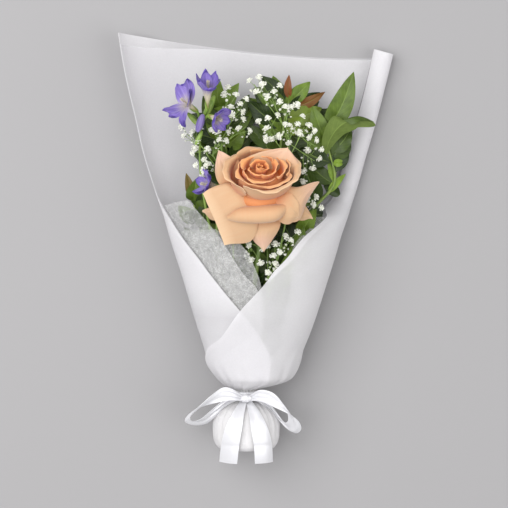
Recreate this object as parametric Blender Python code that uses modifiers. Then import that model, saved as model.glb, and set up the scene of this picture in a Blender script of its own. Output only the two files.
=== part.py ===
"""A mixed flower bouquet, lying on its back: one peach rose, violet freesias, gypsophila and leafy
stems in a rolled paper cone, tied with a satin ribbon above a paper foot that holds a wet pad.

Lengths are in millimetres. x runs to the right, y from the foot to the flowers and z up from the
surface that the bouquet lies on. x and y are measured from the tie, until each mesh is set down with
the middle of the bouquet's outline at the origin.
"""

import math
import random

import bmesh
import bpy
from mathutils import Matrix, Vector

MM = 0.001
TIE_FROM_MIDDLE = Vector((-10.5, -147.5, 0.0))
AXIS_HEIGHT = 31.0

# Outer wrap: a sheet lying on its back, its right edge rolled up, closed over the front lower down
WRAP_THICKNESS = 1.0
WRAP_SIDE_SEGMENTS = 9
WRAP_FLOOR_SEGMENTS = 4
WRAP_ROLL_SEGMENTS = 14
FRONT_OVERLAP_GAP = 2.3
ROLL_PITCH = 2.7
# Each station: y, left edge, right edge, underside, the two left radii and turn of the left edge, the two
# right radii and turn of the right edge. A turn is counted in degrees from the underside.
WRAP_STATIONS = (
    (6.5, -12.2, 12.2, 18.8, 12.2, 12.2, 200.0, 12.2, 12.2, 262.0),
    (9.5, -20.0, 26.0, 12.0, 23.0, 19.0, 200.0, 23.0, 19.0, 262.0),
    (13.5, -25.0, 41.0, 6.0, 33.0, 25.0, 200.0, 33.0, 25.0, 262.0),
    (19.0, -30.5, 49.0, 2.0, 39.7, 29.5, 200.0, 39.7, 29.5, 262.0),
    (32.0, -39.5, 55.7, 0.0, 47.6, 31.7, 200.0, 47.6, 31.7, 262.0),
    (47.0, -43.5, 59.7, 0.0, 51.6, 33.0, 196.0, 51.6, 33.0, 250.0),
    (62.0, -48.0, 65.5, 0.0, 56.7, 34.5, 186.0, 56.7, 34.5, 222.0),
    (93.0, -57.0, 76.0, 0.0, 66.5, 37.5, 164.0, 66.5, 37.5, 196.0),
    (125.0, -66.5, 86.0, 0.0, 70.0, 37.5, 154.0, 62.0, 37.0, 189.0),
    (142.0, -72.0, 91.0, 0.0, 70.0, 37.5, 140.0, 51.0, 33.0, 187.0),
    (160.0, -77.5, 96.0, 0.0, 70.0, 37.5, 126.0, 40.0, 29.0, 185.0),
    (181.0, -83.5, 104.0, 0.0, 66.0, 37.5, 115.0, 20.0, 22.0, 192.0),
    (197.0, -89.0, 110.0, 0.0, 63.0, 38.0, 102.0, 10.5, 12.5, 320.0),
    (213.0, -94.0, 115.0, 0.0, 60.0, 38.0, 91.0, 8.6, 9.0, 440.0),
    (240.0, -102.5, 122.5, 0.0, 60.0, 36.0, 90.0, 9.6, 9.8, 480.0),
    (270.0, -111.0, 131.0, 0.0, 62.0, 35.0, 90.0, 10.2, 10.2, 500.0),
    (305.0, -120.5, 140.0, 0.0, 64.0, 35.0, 90.0, 10.4, 10.4, 500.0),
    (345.0, -128.5, 149.5, 0.0, 66.0, 35.0, 90.0, 10.6, 10.6, 500.0),
)
WRAP_TOP_Y = 345.0
WRAP_TOP_SLOPE_START = 250.0
WRAP_TOP_RISE = 26.0
WRAP_TOP_DROP = 6.0
WRAP_TOP_SPAN = (-128.0, 105.0)

# Paper foot below the tie, and the gathered neck through it, turned about the tie's axis
NECK_HOLE = 8.3
FOOT_WALL = 1.3
FOOT_PROFILE = (
    (9.0, 12.0),
    (-5.2, 12.0),
    (-9.0, 19.0),
    (-14.0, 26.0),
    (-22.0, 32.0),
    (-32.0, 34.5),
    (-42.0, 34.2),
    (-50.0, 32.3),
    (-54.0, 29.5),
)
FOOT_SIDES = 16

# Wet pad in the foot, and the rubber band round the stems: middle y and half width, then radii
PAD_GAP = 0.8
PAD_FLOOR_GAP = 1.2
PAD_HOLE = 7.9
PAD_HOLE_END = -46.0
BINDING_PLACE = (14.5, 2.5)
BINDING_INNER = 7.5
BINDING_OUTER = 8.9

# Inner sheet in the wrap's back
INNER_SHEET_THICKNESS = 0.8
INNER_SHEET_INSET = 1.8
INNER_SHEET_COLUMNS = WRAP_SIDE_SEGMENTS + WRAP_FLOOR_SEGMENTS - 1
INNER_SHEET_DROP = 8.0

# Tissues in the front: y of each row and the turn of the free edge there
TISSUE_THICKNESS = 0.7
TISSUE_COLUMNS = 5
LEFT_TISSUE_EDGE = (
    (14.0, 188.0),
    (32.0, 188.0),
    (47.0, 188.0),
    (62.0, 188.0),
    (93.0, 186.0),
    (111.0, 184.0),
    (126.0, 175.5),
    (155.0, 167.0),
    (173.0, 161.0),
    (200.0, 149.0),
)
LEFT_FOLD_EDGE = (
    (32.0, 180.0),
    (62.0, 184.0),
    (93.0, 188.0),
    (119.0, 188.0),
    (133.0, 187.0),
    (144.0, 186.0),
    (156.0, 181.0),
    (171.0, 163.0),
)
RIGHT_TISSUE_EDGE = (
    (32.0, 150.0),
    (62.0, 150.0),
    (93.0, 150.0),
    (125.0, 160.0),
    (146.0, 178.0),
    (160.0, 186.0),
    (171.0, 190.0),
    (181.0, 205.0),
)
# name, side, free edge, turn of the fixed edge, inset from the wrap, slant of the top edge
TISSUES = (
    ("left_tissue", -1, LEFT_TISSUE_EDGE, 93.0, 4.8, 9.0),
    ("left_tissue_fold", -1, LEFT_FOLD_EDGE, 104.0, 6.9, 4.0),
    ("right_tissue", 1, RIGHT_TISSUE_EDGE, 93.0, 3.9, 0.0),
)

# Ribbon: a band round the neck, a knot in front of it, two loops and two tails
RIBBON_THICKNESS = 0.8
BAND_INNER = 12.6
BAND_OUTER = 14.4
BAND_HALF_WIDTH = 4.0
BAND_SIDES = 20
KNOT_MIDDLE = (0.0, -1.5, 48.0)
KNOT_HALF_SIZE = (6.6, 5.0, 4.6)
# centres, width directions and widths along each loop of the bow
LEFT_LOOP = (
    ((-4, -1, 49), (-16, 2, 57), (-30, 0, 60), (-44, -7, 57), (-55, -14, 49), (-58, -19, 41),
     (-51, -19, 36), (-38, -11, 38), (-24, -3, 42), (-11, -1, 45), (-4, -2, 46)),
    ((0, 1, 0.1), (0.1, 1, 0.1), (0.25, 1, 0.1), (0.4, 0.9, 0.1), (0.5, 0.85, 0.2), (0.5, 0.8, 0.3),
     (0.45, 0.8, 0.35), (0.3, 0.9, 0.2), (0.1, 1, 0.1), (0, 1, 0), (0, 1, 0)),
    (6, 11, 15, 17.5, 18, 18, 17, 14, 10, 7, 6),
)
RIGHT_LOOP = (
    ((4, -1, 49), (16, 2, 56), (30, -2, 60), (41, -10, 58), (50, -20, 51), (52, -27, 43),
     (48, -26, 37), (40, -17, 38), (28, -6, 41), (13, -1, 44), (4, -2, 46)),
    ((0, 1, 0.1), (-0.1, 1, 0.1), (-0.25, 1, 0.1), (-0.4, 0.9, 0.1), (-0.55, 0.8, 0.2), (-0.6, 0.75, 0.3),
     (-0.5, 0.8, 0.35), (-0.35, 0.9, 0.2), (-0.1, 1, 0.1), (0, 1, 0), (0, 1, 0)),
    (6, 11, 15, 17.5, 18, 18, 17, 14, 10, 7, 6),
)
TAIL_CLEARANCE = 2.0
TAIL_FOOT_END = -47.0
TAIL_DROP_START = -50.0
TAIL_DROP = 0.012
TAIL_WIDTHS = (6.0, 12.0, 17.0, 18.0, 18.0)
LEFT_TAIL = ((-2, -4, 0), (-8, -16, 0), (-13, -32, 0), (-16, -48, 0), (-18, -66, 0))
RIGHT_TAIL = ((2, -4, 0), (9, -16, 0), (14, -32, 0), (17, -48, 0), (18, -66, 0))

# Rose
ROSE_BASE = (15.0, 204.0, 68.0)
ROSE_AXIS = (0.03, 0.62, 0.78)
ROSE_ROUTE = ((0, -44, 31), (0, 20, 31), (2, 60, 37), (8, 110, 47), (14, 160, 51), (15, 188, 55))
PETAL_THICKNESS = 0.7
# height, radius and half height of the body that the petals stand on
ROSE_CORE = (11.4, 24.0, 11.4)
ROSE_INNER_PETALS = 8
ROSE_INNER_STEP = 2.5
ROSE_RIM_PETALS = 5
# azimuth, tip radius, tip height, half width, lift of each layer
ROSE_OUTER_PETALS = (
    (140, 54, 28, 21, -3.0),
    (190, 57, 22, 18, 0.0),
    (206, 60, 10, 20, -3.0),
    (242, 66, 12, 18, 0.0),
    (271, 64, 1, 17, -3.0),
    (325, 57, 7, 17, -3.0),
    (2, 56, 22, 20, 0.0),
    (62, 46, 31, 20, 0.0),
)

ROSE_FRONT_PETAL = ((19.0, 8.0), (32.0, 11.5), (44.0, 21.0), (51.0, 26.0), (56.0, 22.5))
ROSE_HIP = (5.3, 4.6, 4.9)
ROSE_SEPAL = ((2.0, -1.0), (8.0, -3.0), (16.0, -8.5), (22.0, -15.0))
ROSE_SEPALS = 5

# Freesia: stem and branch, then base, axis, length and opening of each bloom; base, tip and radius of buds
FREESIA_ROUTE = ((-4.9, -44, 33), (-4.9, 20, 33), (-12, 60, 37), (-22, 110, 43), (-36, 170, 46),
                 (-44, 215, 47), (-46, 250, 50), (-44, 277, 61))
FREESIA_BRANCH = ((-22, 110, 43), (-28, 150, 46), (-29, 185, 47), (-24, 205, 53))
FREESIA_BLOOMS = (
    ((-38.0, 291.0, 67.0), (0.03, 0.93, 0.35), 36.0, 13.0),
    ((-49.0, 288.0, 66.0), (-0.62, 0.72, 0.3), 34.0, 13.0),
    ((-36.0, 283.0, 70.0), (0.8, -0.1, 0.5), 26.0, 11.5),
    ((-25.0, 212.0, 61.0), (-0.9, 0.2, 0.34), 27.0, 10.5),
)
FREESIA_BUDS = (
    ((-44, 274, 60), (-56, 290, 56), 2.6),
    ((-43, 268, 60), (-50, 254, 60), 2.4),
)

LEAF_THICKNESS = 0.7
LEAF_ROWS = 3
# Leafy stems: route, side branches, then leaves as branch (0 is the stem itself), share of its length,
# tip, width and lean, and the stem's radius
LEAFY_STEMS = (
    ("right_leafy_stem",
     ((5.1, -44, 29.6), (5.1, 0, 29.6), (5.3, 24, 29.6), (18, 60, 29), (38, 110, 31), (54, 160, 36),
      (66, 188, 39), (88, 214, 42), (84, 243, 42), (77, 262, 42)),
     (),
     ((0, 0.99, (107, 326, 48), 23, -10), (0, 0.93, (131, 277, 41), 24, 20), (0, 0.88, (103, 262, 34), 20, 0),
      (0, 0.78, (87, 254, 33), 12, 0), (0, 0.93, (56, 264, 40), 17, 0), (0, 0.62, (48, 152, 24), 20, 0),
      (0, 0.55, (56, 126, 22), 18, 0), (0, 0.70, (58, 214, 33), 20, 0), (0, 0.74, (104, 226, 35), 11, 0),
      (0, 0.96, (66, 292, 44), 17, 0), (0, 0.86, (104, 240, 40), 11, 0)),
     1.8),
    ("centre_leafy_stem",
     ((2.5, -44, 26.3), (2.5, 20, 26.3), (10, 60, 22), (18, 110, 20), (26, 170, 24), (32, 230, 28),
      (38, 275, 32), (43, 298, 35)),
     (((24, 155, 22), (34, 190, 15), (44, 235, 12), (50, 268, 15)),),
     ((0, 1.0, (43, 323, 38), 8, 0), (0, 0.97, (64, 316, 37), 16, 0), (0, 0.93, (27, 322, 33), 18, 0),
      (0, 0.9, (8, 310, 35), 20, 0), (0, 0.93, (79, 306, 36), 12, 0), (0, 0.88, (76, 290, 36), 20, 0),
      (0, 0.84, (70, 276, 31), 20, 0), (0, 0.81, (12, 286, 32), 21, 0), (0, 0.76, (62, 254, 27), 20, 0),
      (0, 0.72, (8, 252, 27), 21, 0), (0, 0.46, (-2, 142, 26), 20, 0), (0, 0.5, (44, 150, 28), 18, 0),
      (0, 0.58, (4, 182, 26), 20, 0), (0, 0.4, (36, 120, 24), 16, 0),
      (0, 0.7, (14, 270, 22), 19, 0), (1, 1.0, (44, 306, 19), 22, 0), (1, 0.95, (18, 308, 16), 21, 0),
      (1, 0.9, (86, 290, 17), 22, 0), (1, 0.8, (14, 290, 14), 22, 0), (1, 0.62, (88, 256, 14), 23, 0),
      (1, 0.5, (8, 248, 11), 22, 0), (1, 0.3, (78, 216, 13), 22, 0)),
     1.7),
    ("left_leafy_stem",
     ((-1.8, -44, 26), (-1.8, 20, 26), (-4, 60, 20), (-7, 110, 17), (-12, 170, 21), (-18, 230, 25),
      (-22, 262, 29), (-25, 285, 32)),
     (((-12, 175, 21), (-14, 210, 14), (-18, 240, 12)),),
     ((0, 1.0, (-27, 319, 40), 16, 0), (0, 0.95, (-7, 315, 38), 16, 0), (0, 0.97, (-17, 292, 43), 22, 0),
      (0, 0.9, (-43, 302, 36), 18, 0), (0, 0.84, (-40, 282, 36), 17, 0), (0, 0.8, (-1, 268, 38), 21, 0),
      (0, 0.76, (-42, 254, 30), 18, 0), (0, 0.7, (-2, 230, 26), 18, 0), (0, 0.45, (-18, 148, 24), 17, 0),
      (1, 1.0, (-30, 284, 17), 21, 0), (1, 0.85, (2, 272, 14), 22, 0), (1, 0.6, (-44, 232, 15), 18, 0)),
     1.7),
    ("low_leafy_stem",
     ((-4.9, -44, 28.9), (-4.9, 20, 28.9), (-14, 60, 25), (-26, 105, 26), (-40, 150, 29),
      (-50, 182, 31), (-53, 196, 32)),
     (),
     ((0, 1.0, (-60, 225, 38), 10, 0), (0, 0.97, (-50, 219, 42), 17, 0), (0, 0.86, (-34, 198, 38), 20, 0),
      (0, 0.8, (-68, 192, 34), 16, 0), (0, 0.72, (-26, 170, 32), 18, 0), (0, 0.62, (-22, 142, 32), 17, 0),
      (0, 0.92, (-42, 206, 30), 17, 0)),
     1.6),
)

# Gypsophila: name, route, middle of each cluster with its number of florets, and the seed of the draw
GYPS_BRANCH_LENGTH = 34.0
GYPS_CLUSTER_REACH = (5.5, 9.0)
GYPS_STEM_RADIUS = 1.3
GYPS_BRANCH_RADII = (0.8, 0.75, 0.7)
GYPS_FLORET_RADII = (0.6, 1.1, 3.1)
GYPSOPHILA = (
    ("left_gypsophila",
     ((-2.65, -44, 35.6), (-2.65, 20, 35.6), (-8, 60, 43), (-12, 110, 52), (-13, 170, 54),
      (-13, 205, 54), (-25, 230, 55), (-33, 244, 56)),
     (((-57, 264, 55), 4), ((-44, 253, 57), 3), ((-24, 262, 56), 3), ((-43, 238, 56), 4),
      ((-10, 290, 56), 4), ((-15, 305, 56), 3), ((0, 272, 56), 3), ((6, 148, 57), 3)),
     7),
    ("right_gypsophila",
     ((4.5, -44, 34.6), (4.5, 20, 34.6), (11, 60, 43), (24, 110, 53), (36, 160, 54), (44, 210, 55),
      (42, 250, 56), (36, 275, 57)),
     (((24, 305, 57), 4), ((8, 314, 57), 3), ((22, 268, 58), 3), ((40, 290, 57), 3), ((42, 268, 58), 3),
      ((58, 272, 57), 3), ((64, 254, 57), 3), ((68, 238, 55), 3), ((66, 200, 56), 3),
      ((36, 155, 56), 4), ((24, 134, 60), 3)),
     11),
)


def blended(table, x):
    """The row of a table of stations at x, eased between the rows on either side of it."""
    if x <= table[0][0]:
        return table[0][1:]
    for low, high in zip(table, table[1:]):
        if x <= high[0]:
            share = (x - low[0]) / (high[0] - low[0])
            return tuple(a + (b - a) * share for a, b in zip(low[1:], high[1:]))
    return table[-1][1:]


def smooth_step(x):
    x = min(max(x, 0.0), 1.0)
    return x * x * (3 - 2 * x)


def material(name, colour, roughness):
    made = bpy.data.materials.new(name)
    made.use_nodes = True
    shader = made.node_tree.nodes["Principled BSDF"]
    shader.inputs["Base Color"].default_value = (*colour, 1.0)
    shader.inputs["Roughness"].default_value = roughness
    made.diffuse_color = (*colour, 1.0)
    return made


def set_down(point):
    """A point measured from the tie, in Blender's metres from the middle of the outline."""
    return (Vector(point) + TIE_FROM_MIDDLE) * MM


def object_of(mesh_data, name):
    made = bpy.data.objects.new(name, mesh_data)
    bpy.context.scene.collection.objects.link(made)
    return made


def applied(obj):
    """The object with its modifiers applied, as one mesh."""
    graph = bpy.context.evaluated_depsgraph_get()
    mesh = bpy.data.meshes.new_from_object(obj.evaluated_get(graph))
    obj.modifiers.clear()
    old = obj.data
    obj.data = mesh
    bpy.data.meshes.remove(old)
    return obj


def keep_main_body(mesh):
    """Drops the small shells that a union leaves: sealed pockets and loose scraps."""
    bm = bmesh.new()
    bm.from_mesh(mesh)
    left = set(bm.faces)
    main_shell = set()
    while left:
        shell = set()
        edge = {left.pop()}
        while edge:
            shell |= edge
            joined = {f for face in edge for e in face.edges if len(e.link_faces) == 2 for f in e.link_faces}
            edge = joined - shell
        left -= shell
        main_shell = max(main_shell, shell, key=len)
    loose = [face for face in bm.faces if face not in main_shell]
    bmesh.ops.delete(bm, geom=loose, context="FACES")
    bm.to_mesh(mesh)
    bm.free()


def sheet(name, columns, rows, place, thickness):
    """A grid of columns x rows laid by place(across, along), both 0 to 1, and given a thickness."""
    bm = bmesh.new()
    bmesh.ops.create_grid(bm, x_segments=columns, y_segments=rows, size=0.5)
    for vert in bm.verts:
        vert.co = set_down(place(vert.co.x + 0.5, vert.co.y + 0.5))
    bmesh.ops.remove_doubles(bm, verts=bm.verts, dist=0.00001)
    bmesh.ops.triangulate(bm, faces=bm.faces, quad_method="FIXED")
    mesh = bpy.data.meshes.new(name)
    bm.to_mesh(mesh)
    bm.free()
    made = object_of(mesh, name)
    solid = made.modifiers.new("thickness", "SOLIDIFY")
    solid.thickness = thickness * MM
    solid.offset = 0.0
    return applied(made)


def stem(name, points, radii, sides_level=1):
    """A round stem through the points, with a radius at each one."""
    curve = bpy.data.curves.new(name, "CURVE")
    curve.dimensions = "3D"
    curve.bevel_depth = MM
    curve.bevel_resolution = sides_level
    curve.use_fill_caps = True
    line = curve.splines.new("POLY")
    line.points.add(len(points) - 1)
    for spot, point, radius in zip(line.points, points, radii):
        spot.co = (*set_down(point), 1.0)
        spot.radius = radius
    guide = bpy.data.objects.new(name, curve)
    bpy.context.scene.collection.objects.link(guide)
    graph = bpy.context.evaluated_depsgraph_get()
    mesh = bpy.data.meshes.new_from_object(guide.evaluated_get(graph))
    bpy.data.objects.remove(guide)
    bm = bmesh.new()
    bm.from_mesh(mesh)
    bmesh.ops.remove_doubles(bm, verts=bm.verts, dist=0.00001)
    bmesh.ops.recalc_face_normals(bm, faces=bm.faces)
    bm.to_mesh(mesh)
    bm.free()
    return object_of(mesh, name)


def fused(name, parts, finish, solver="EXACT"):
    """One body from overlapping parts, joined by one Boolean union on a collection."""
    first, rest = parts[0], parts[1:]
    if rest:
        group = bpy.data.collections.new(name + " parts")
        bpy.context.scene.collection.children.link(group)
        for part in rest:
            bpy.context.scene.collection.objects.unlink(part)
            group.objects.link(part)
        union = first.modifiers.new("union", "BOOLEAN")
        union.operation = "UNION"
        union.operand_type = "COLLECTION"
        union.collection = group
        union.solver = solver
        applied(first)
        for part in rest:
            bpy.data.objects.remove(part)
        bpy.data.collections.remove(group)
        keep_main_body(first.data)
    first.name = name
    first.data.name = name
    first.data.materials.clear()
    first.data.materials.append(finish)
    for polygon in first.data.polygons:
        polygon.material_index = 0
    return first


def wrap_point(y, column, inset):
    """A point of the outer wrap's sheet: columns run from its left edge over the back to its rolled
    right edge. inset moves it in towards the flowers."""
    left, right, under, wide_l, high_l, turn_l, wide_r, high_r, turn_r = blended(WRAP_STATIONS, y)
    middle_l, middle_r = left + wide_l, right - wide_r
    right_start = WRAP_SIDE_SEGMENTS + WRAP_FLOOR_SEGMENTS
    if column < WRAP_SIDE_SEGMENTS:
        turn = math.radians(turn_l) * (1 - column / WRAP_SIDE_SEGMENTS)
        x = middle_l - (wide_l - inset) * math.sin(turn)
        return Vector((x, y, under + high_l - (high_l - inset) * math.cos(turn)))
    if column < right_start:
        # The last floor column lies under the roll
        roll_side = min(max(right - 2.5 * wide_r, middle_l), middle_r)
        share = (column - WRAP_SIDE_SEGMENTS) / (WRAP_FLOOR_SEGMENTS - 1)
        return Vector((middle_l + (roll_side - middle_l) * share, y, under + inset))
    turn = math.radians(turn_r) * (column - right_start) / WRAP_ROLL_SEGMENTS
    # The front panel spreads clear of the left flap below it, and the roll winds inwards
    out = FRONT_OVERLAP_GAP * smooth_step((math.degrees(turn) - 90) / 80)
    out *= 1 - smooth_step((y - 150) / 30)
    out -= ROLL_PITCH * turn / math.tau * smooth_step((y - 175) / 20)
    x = middle_r + (wide_r + out - inset) * math.sin(turn)
    if turn > math.pi / 2:
        high_out = out
    else:
        high_out = 0.0
    return Vector((x, y, under + high_r - (high_r + high_out - inset) * math.cos(turn)))


def wrap_top(x):
    """How far the sheet's top edge stands above its level line at x."""
    low, high = WRAP_TOP_SPAN
    share = min(max((high - x) / (high - low), 0.0), 1.05)
    rise = WRAP_TOP_RISE * share**1.6 - WRAP_TOP_DROP
    return rise + WRAP_TOP_DROP * smooth_step((x - high) / 25)


def lifted(point, y):
    """A point of the wrap moved to its place under the slanting top edge."""
    slope = (y - WRAP_TOP_SLOPE_START) / (WRAP_TOP_Y - WRAP_TOP_SLOPE_START)
    point.y += max(slope, 0.0) * wrap_top(point.x)
    return point


def outer_wrap(finish):
    ys = [station[0] for station in WRAP_STATIONS]
    columns = WRAP_SIDE_SEGMENTS + WRAP_FLOOR_SEGMENTS + WRAP_ROLL_SEGMENTS

    def place(across, along):
        y = ys[round(along * (len(ys) - 1))]
        return lifted(wrap_point(y, round(across * columns), WRAP_THICKNESS / 2), y)

    cone = sheet("cone", columns, len(ys) - 1, place, WRAP_THICKNESS)
    return fused("outer_wrap", [cone, foot_shell()], finish)


def turned(name, loop, sides, floor=None):
    """A closed ring or cup: the loop of (y, radius) points turned about the tie's axis."""
    bm = bmesh.new()
    line = [bm.verts.new((radius, y, 0.0)) for y, radius in loop]
    for a, b in zip(line, line[1:]):
        bm.edges.new((a, b))
    bmesh.ops.spin(
        bm,
        geom=bm.verts[:] + bm.edges[:],
        cent=(0, 0, 0),
        axis=(0, 1, 0),
        angle=math.tau,
        steps=sides,
        use_merge=True,
    )
    bmesh.ops.remove_doubles(bm, verts=bm.verts, dist=0.001)
    bmesh.ops.recalc_face_normals(bm, faces=bm.faces)
    for vert in bm.verts:
        x, y, z = vert.co
        low = floor(y, math.hypot(x, z)) if floor else 0.0
        vert.co = set_down((x, y, max(AXIS_HEIGHT + z, low)))
    mesh = bpy.data.meshes.new(name)
    bm.to_mesh(mesh)
    bm.free()
    return object_of(mesh, name)


def foot_radius(y):
    return blended(sorted(FOOT_PROFILE), y)[0]


def foot_shell():
    """The gathered neck and the rounded foot, flattened where the foot lies."""
    outside = list(FOOT_PROFILE)
    end = outside[-1][0]
    inside = [(y, r - FOOT_WALL) for y, r in outside[2:-1]]
    inside.append((end + FOOT_WALL, outside[-1][1] - FOOT_WALL))
    rim = [(outside[0][0], NECK_HOLE), (outside[1][0] - 1.0, NECK_HOLE)]
    loop = [(end, 0.0)] + outside[::-1] + rim + inside + [(end + FOOT_WALL, 0.0)]

    def floor(y, radius):
        return FOOT_WALL if radius < foot_radius(y) - FOOT_WALL / 2 and y > end + 0.1 else 0.0

    return turned("foot", loop, FOOT_SIDES, floor)


def wet_pad(finish):
    """The wad of wet cotton that fills the foot, with one plain hole for the bunch of stems."""
    outside = [(y, r - FOOT_WALL - PAD_GAP) for y, r in FOOT_PROFILE[3:-1]]
    end = FOOT_PROFILE[-1][0] + FOOT_WALL + PAD_GAP
    outside.append((end, FOOT_PROFILE[-1][1] - FOOT_WALL - PAD_GAP))
    loop = [(PAD_HOLE_END, 0.0), (PAD_HOLE_END, PAD_HOLE), (outside[0][0], PAD_HOLE)]
    loop = [(end, 0.0)] + outside[::-1] + loop[::-1]
    pad = turned("wet_pad", loop, FOOT_SIDES, lambda y, radius: FOOT_WALL + PAD_FLOOR_GAP)
    return fused("wet_pad", [pad], finish)


def stem_binding(finish):
    y, half = BINDING_PLACE
    loop = [(y - half, BINDING_INNER), (y - half, BINDING_OUTER), (y + half, BINDING_OUTER)]
    loop += [(y + half, BINDING_INNER), (y - half, BINDING_INNER)]
    return fused("stem_binding", [turned("stem_binding", loop, 20)], finish)


def inner_sheet(finish):
    """The second sheet of paper, lying in the wrap's back a little short of its top edge."""
    ys = [station[0] for station in WRAP_STATIONS[3:]]

    def place(across, along):
        y = ys[round(along * (len(ys) - 1))]
        column = round(across * INNER_SHEET_COLUMNS)
        point = wrap_point(y, column, INNER_SHEET_INSET)
        if y == ys[-1]:
            y -= 1.5 + INNER_SHEET_DROP * smooth_step(-(point.x + 20) / 100)
            point = wrap_point(y, column, INNER_SHEET_INSET)
        return lifted(point, y)

    liner = sheet("inner_sheet", INNER_SHEET_COLUMNS, len(ys) - 1, place, INNER_SHEET_THICKNESS)
    return fused("inner_sheet", [liner], finish)


def tissue(name, side, edges, start_turn, inset, top_slant, finish):
    """A tissue inside the front of the cone, from start_turn on one side to its free edge."""
    ys = [row[0] for row in edges]

    def place(across, along):
        y = ys[round(along * (len(ys) - 1))]
        turn_end = blended(edges, y)[0]
        turn = math.radians(start_turn + (turn_end - start_turn) * across)
        y -= top_slant * (1 - across) * max(along - 0.6, 0.0) / 0.4
        left, right, under, wide_l, high_l, _, wide_r, high_r, _ = blended(WRAP_STATIONS, y)
        if side < 0:
            x = left + wide_l - (wide_l - inset) * math.sin(turn)
            return Vector((x, y, under + high_l - (high_l - inset) * math.cos(turn)))
        # Past the top the tissue leaves the panel's own curve and reaches in towards the flowers
        reach = max(wide_r, 40.0) if math.sin(turn) < 0 else wide_r
        x = right - wide_r + (reach - inset) * math.sin(turn)
        return Vector((x, y, under + high_r - (high_r - inset) * math.cos(turn)))

    return fused(name, [sheet(name, TISSUE_COLUMNS, len(ys) - 1, place, TISSUE_THICKNESS)], finish)


def smooth_route(points, count):
    """count points on a smooth curve through the points, evenly spread over its spans."""
    knots = [Vector(p) for p in points]
    knots = [2 * knots[0] - knots[1]] + knots + [2 * knots[-1] - knots[-2]]
    route = []
    spans = len(points) - 1
    for k in range(count):
        t = k / (count - 1) * spans
        i = min(int(t), spans - 1)
        t -= i
        a, b, c, d = knots[i:i + 4]
        route.append(
            0.5 * (2 * b + (c - a) * t + (2 * a - 5 * b + 4 * c - d) * t**2
                   + (3 * b - a - 3 * c + d) * t**3)
        )
    return route


def strap(name, centres, acrosses, widths, rows, lay=None):
    """A flat ribbon along the centres, with its width direction and width at each one."""
    line = smooth_route(centres, rows + 1)
    sides = smooth_route(acrosses, rows + 1)
    wide = smooth_route([(w, 0, 0) for w in widths], rows + 1)

    def place(across, along):
        k = round(along * rows)
        point = line[k] + sides[k].normalized() * wide[k].x * (across - 0.5)
        return lay(point) if lay else point

    return sheet(name, 2, rows, place, RIBBON_THICKNESS)


def over_foot(point):
    """A point of a ribbon tail dropped onto the foot, or just past the foot's end."""
    over = foot_radius(max(point.y, TAIL_FOOT_END)) + TAIL_CLEARANCE
    past = max(TAIL_DROP_START - point.y, 0.0)
    return Vector((point.x, point.y, AXIS_HEIGHT + math.sqrt(over**2 - point.x**2) - TAIL_DROP * past**2))


def rounded(name, middle, half_size, directions, subdivisions=2):
    """A small rounded body with its three half sizes along the directions."""
    bm = bmesh.new()
    bmesh.ops.create_icosphere(bm, subdivisions=subdivisions, radius=1.0)
    for vert in bm.verts:
        spread = [d * s * half for d, s, half in zip(directions, vert.co, half_size)]
        vert.co = set_down(Vector(middle) + spread[0] + spread[1] + spread[2])
    mesh = bpy.data.meshes.new(name)
    bm.to_mesh(mesh)
    bm.free()
    return object_of(mesh, name)


def ribbon(finish):
    """One satin ribbon: a band round the neck, a knot in front, two loops and two tails."""
    half = BAND_HALF_WIDTH
    loop = [(-half, BAND_INNER), (-half, BAND_OUTER), (half, BAND_OUTER), (half, BAND_INNER)]
    parts = [turned("band", loop + loop[:1], BAND_SIDES)]
    parts.append(rounded("knot", KNOT_MIDDLE, KNOT_HALF_SIZE, Matrix.Identity(3)))
    parts.append(strap("left loop", *LEFT_LOOP, 14))
    parts.append(strap("right loop", *RIGHT_LOOP, 14))
    for centres in (LEFT_TAIL, RIGHT_TAIL):
        parts.append(strap("tail", centres, [(1, 0, 0)] * len(centres), TAIL_WIDTHS, 8, over_foot))
    return fused("satin_ribbon", parts, finish)


def outline(along, widest, base, point):
    """A petal's or leaf's half width as a share of its widest."""
    if along < widest:
        return base + (1 - base) * math.sin(math.pi / 2 * along / widest)
    return math.cos(math.pi / 2 * (along - widest) / (1 - widest)) ** point


def frame_towards(origin, axis, up=(0.0, 1.0, 0.0)):
    """Origin, two cross directions and the axis of a bloom."""
    axis = Vector(axis).normalized()
    right = Vector(up).cross(axis).normalized()
    return Vector(origin), right, axis.cross(right), axis


def petal(frame, azimuth, profile, width, shape, columns, rows, curl=0.0):
    """One petal: its midline is the profile of (radius, height) points at the azimuth."""
    origin, right, up, axis = frame
    line = smooth_route([(r, h, 0) for r, h in profile], rows + 1)
    middle = math.radians(azimuth)

    def place(across, along):
        spot = line[round(along * rows)]
        side = 2 * across - 1
        reach = width * outline(along, *shape)
        angle = middle + side * min(reach / max(spot.x, 8.0), 1.9)
        flat = right * math.cos(angle) + up * math.sin(angle)
        return origin + flat * spot.x + axis * (spot.y - curl * along * side**2)

    return sheet("petal", columns, rows, place, PETAL_THICKNESS)


def lump(frame, height, wide, tall):
    """A rounded body on a bloom's axis, at a height above its origin."""
    origin, right, up, axis = frame
    return rounded("lump", origin + axis * height, (wide, wide, tall), (right, up, axis))


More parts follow.
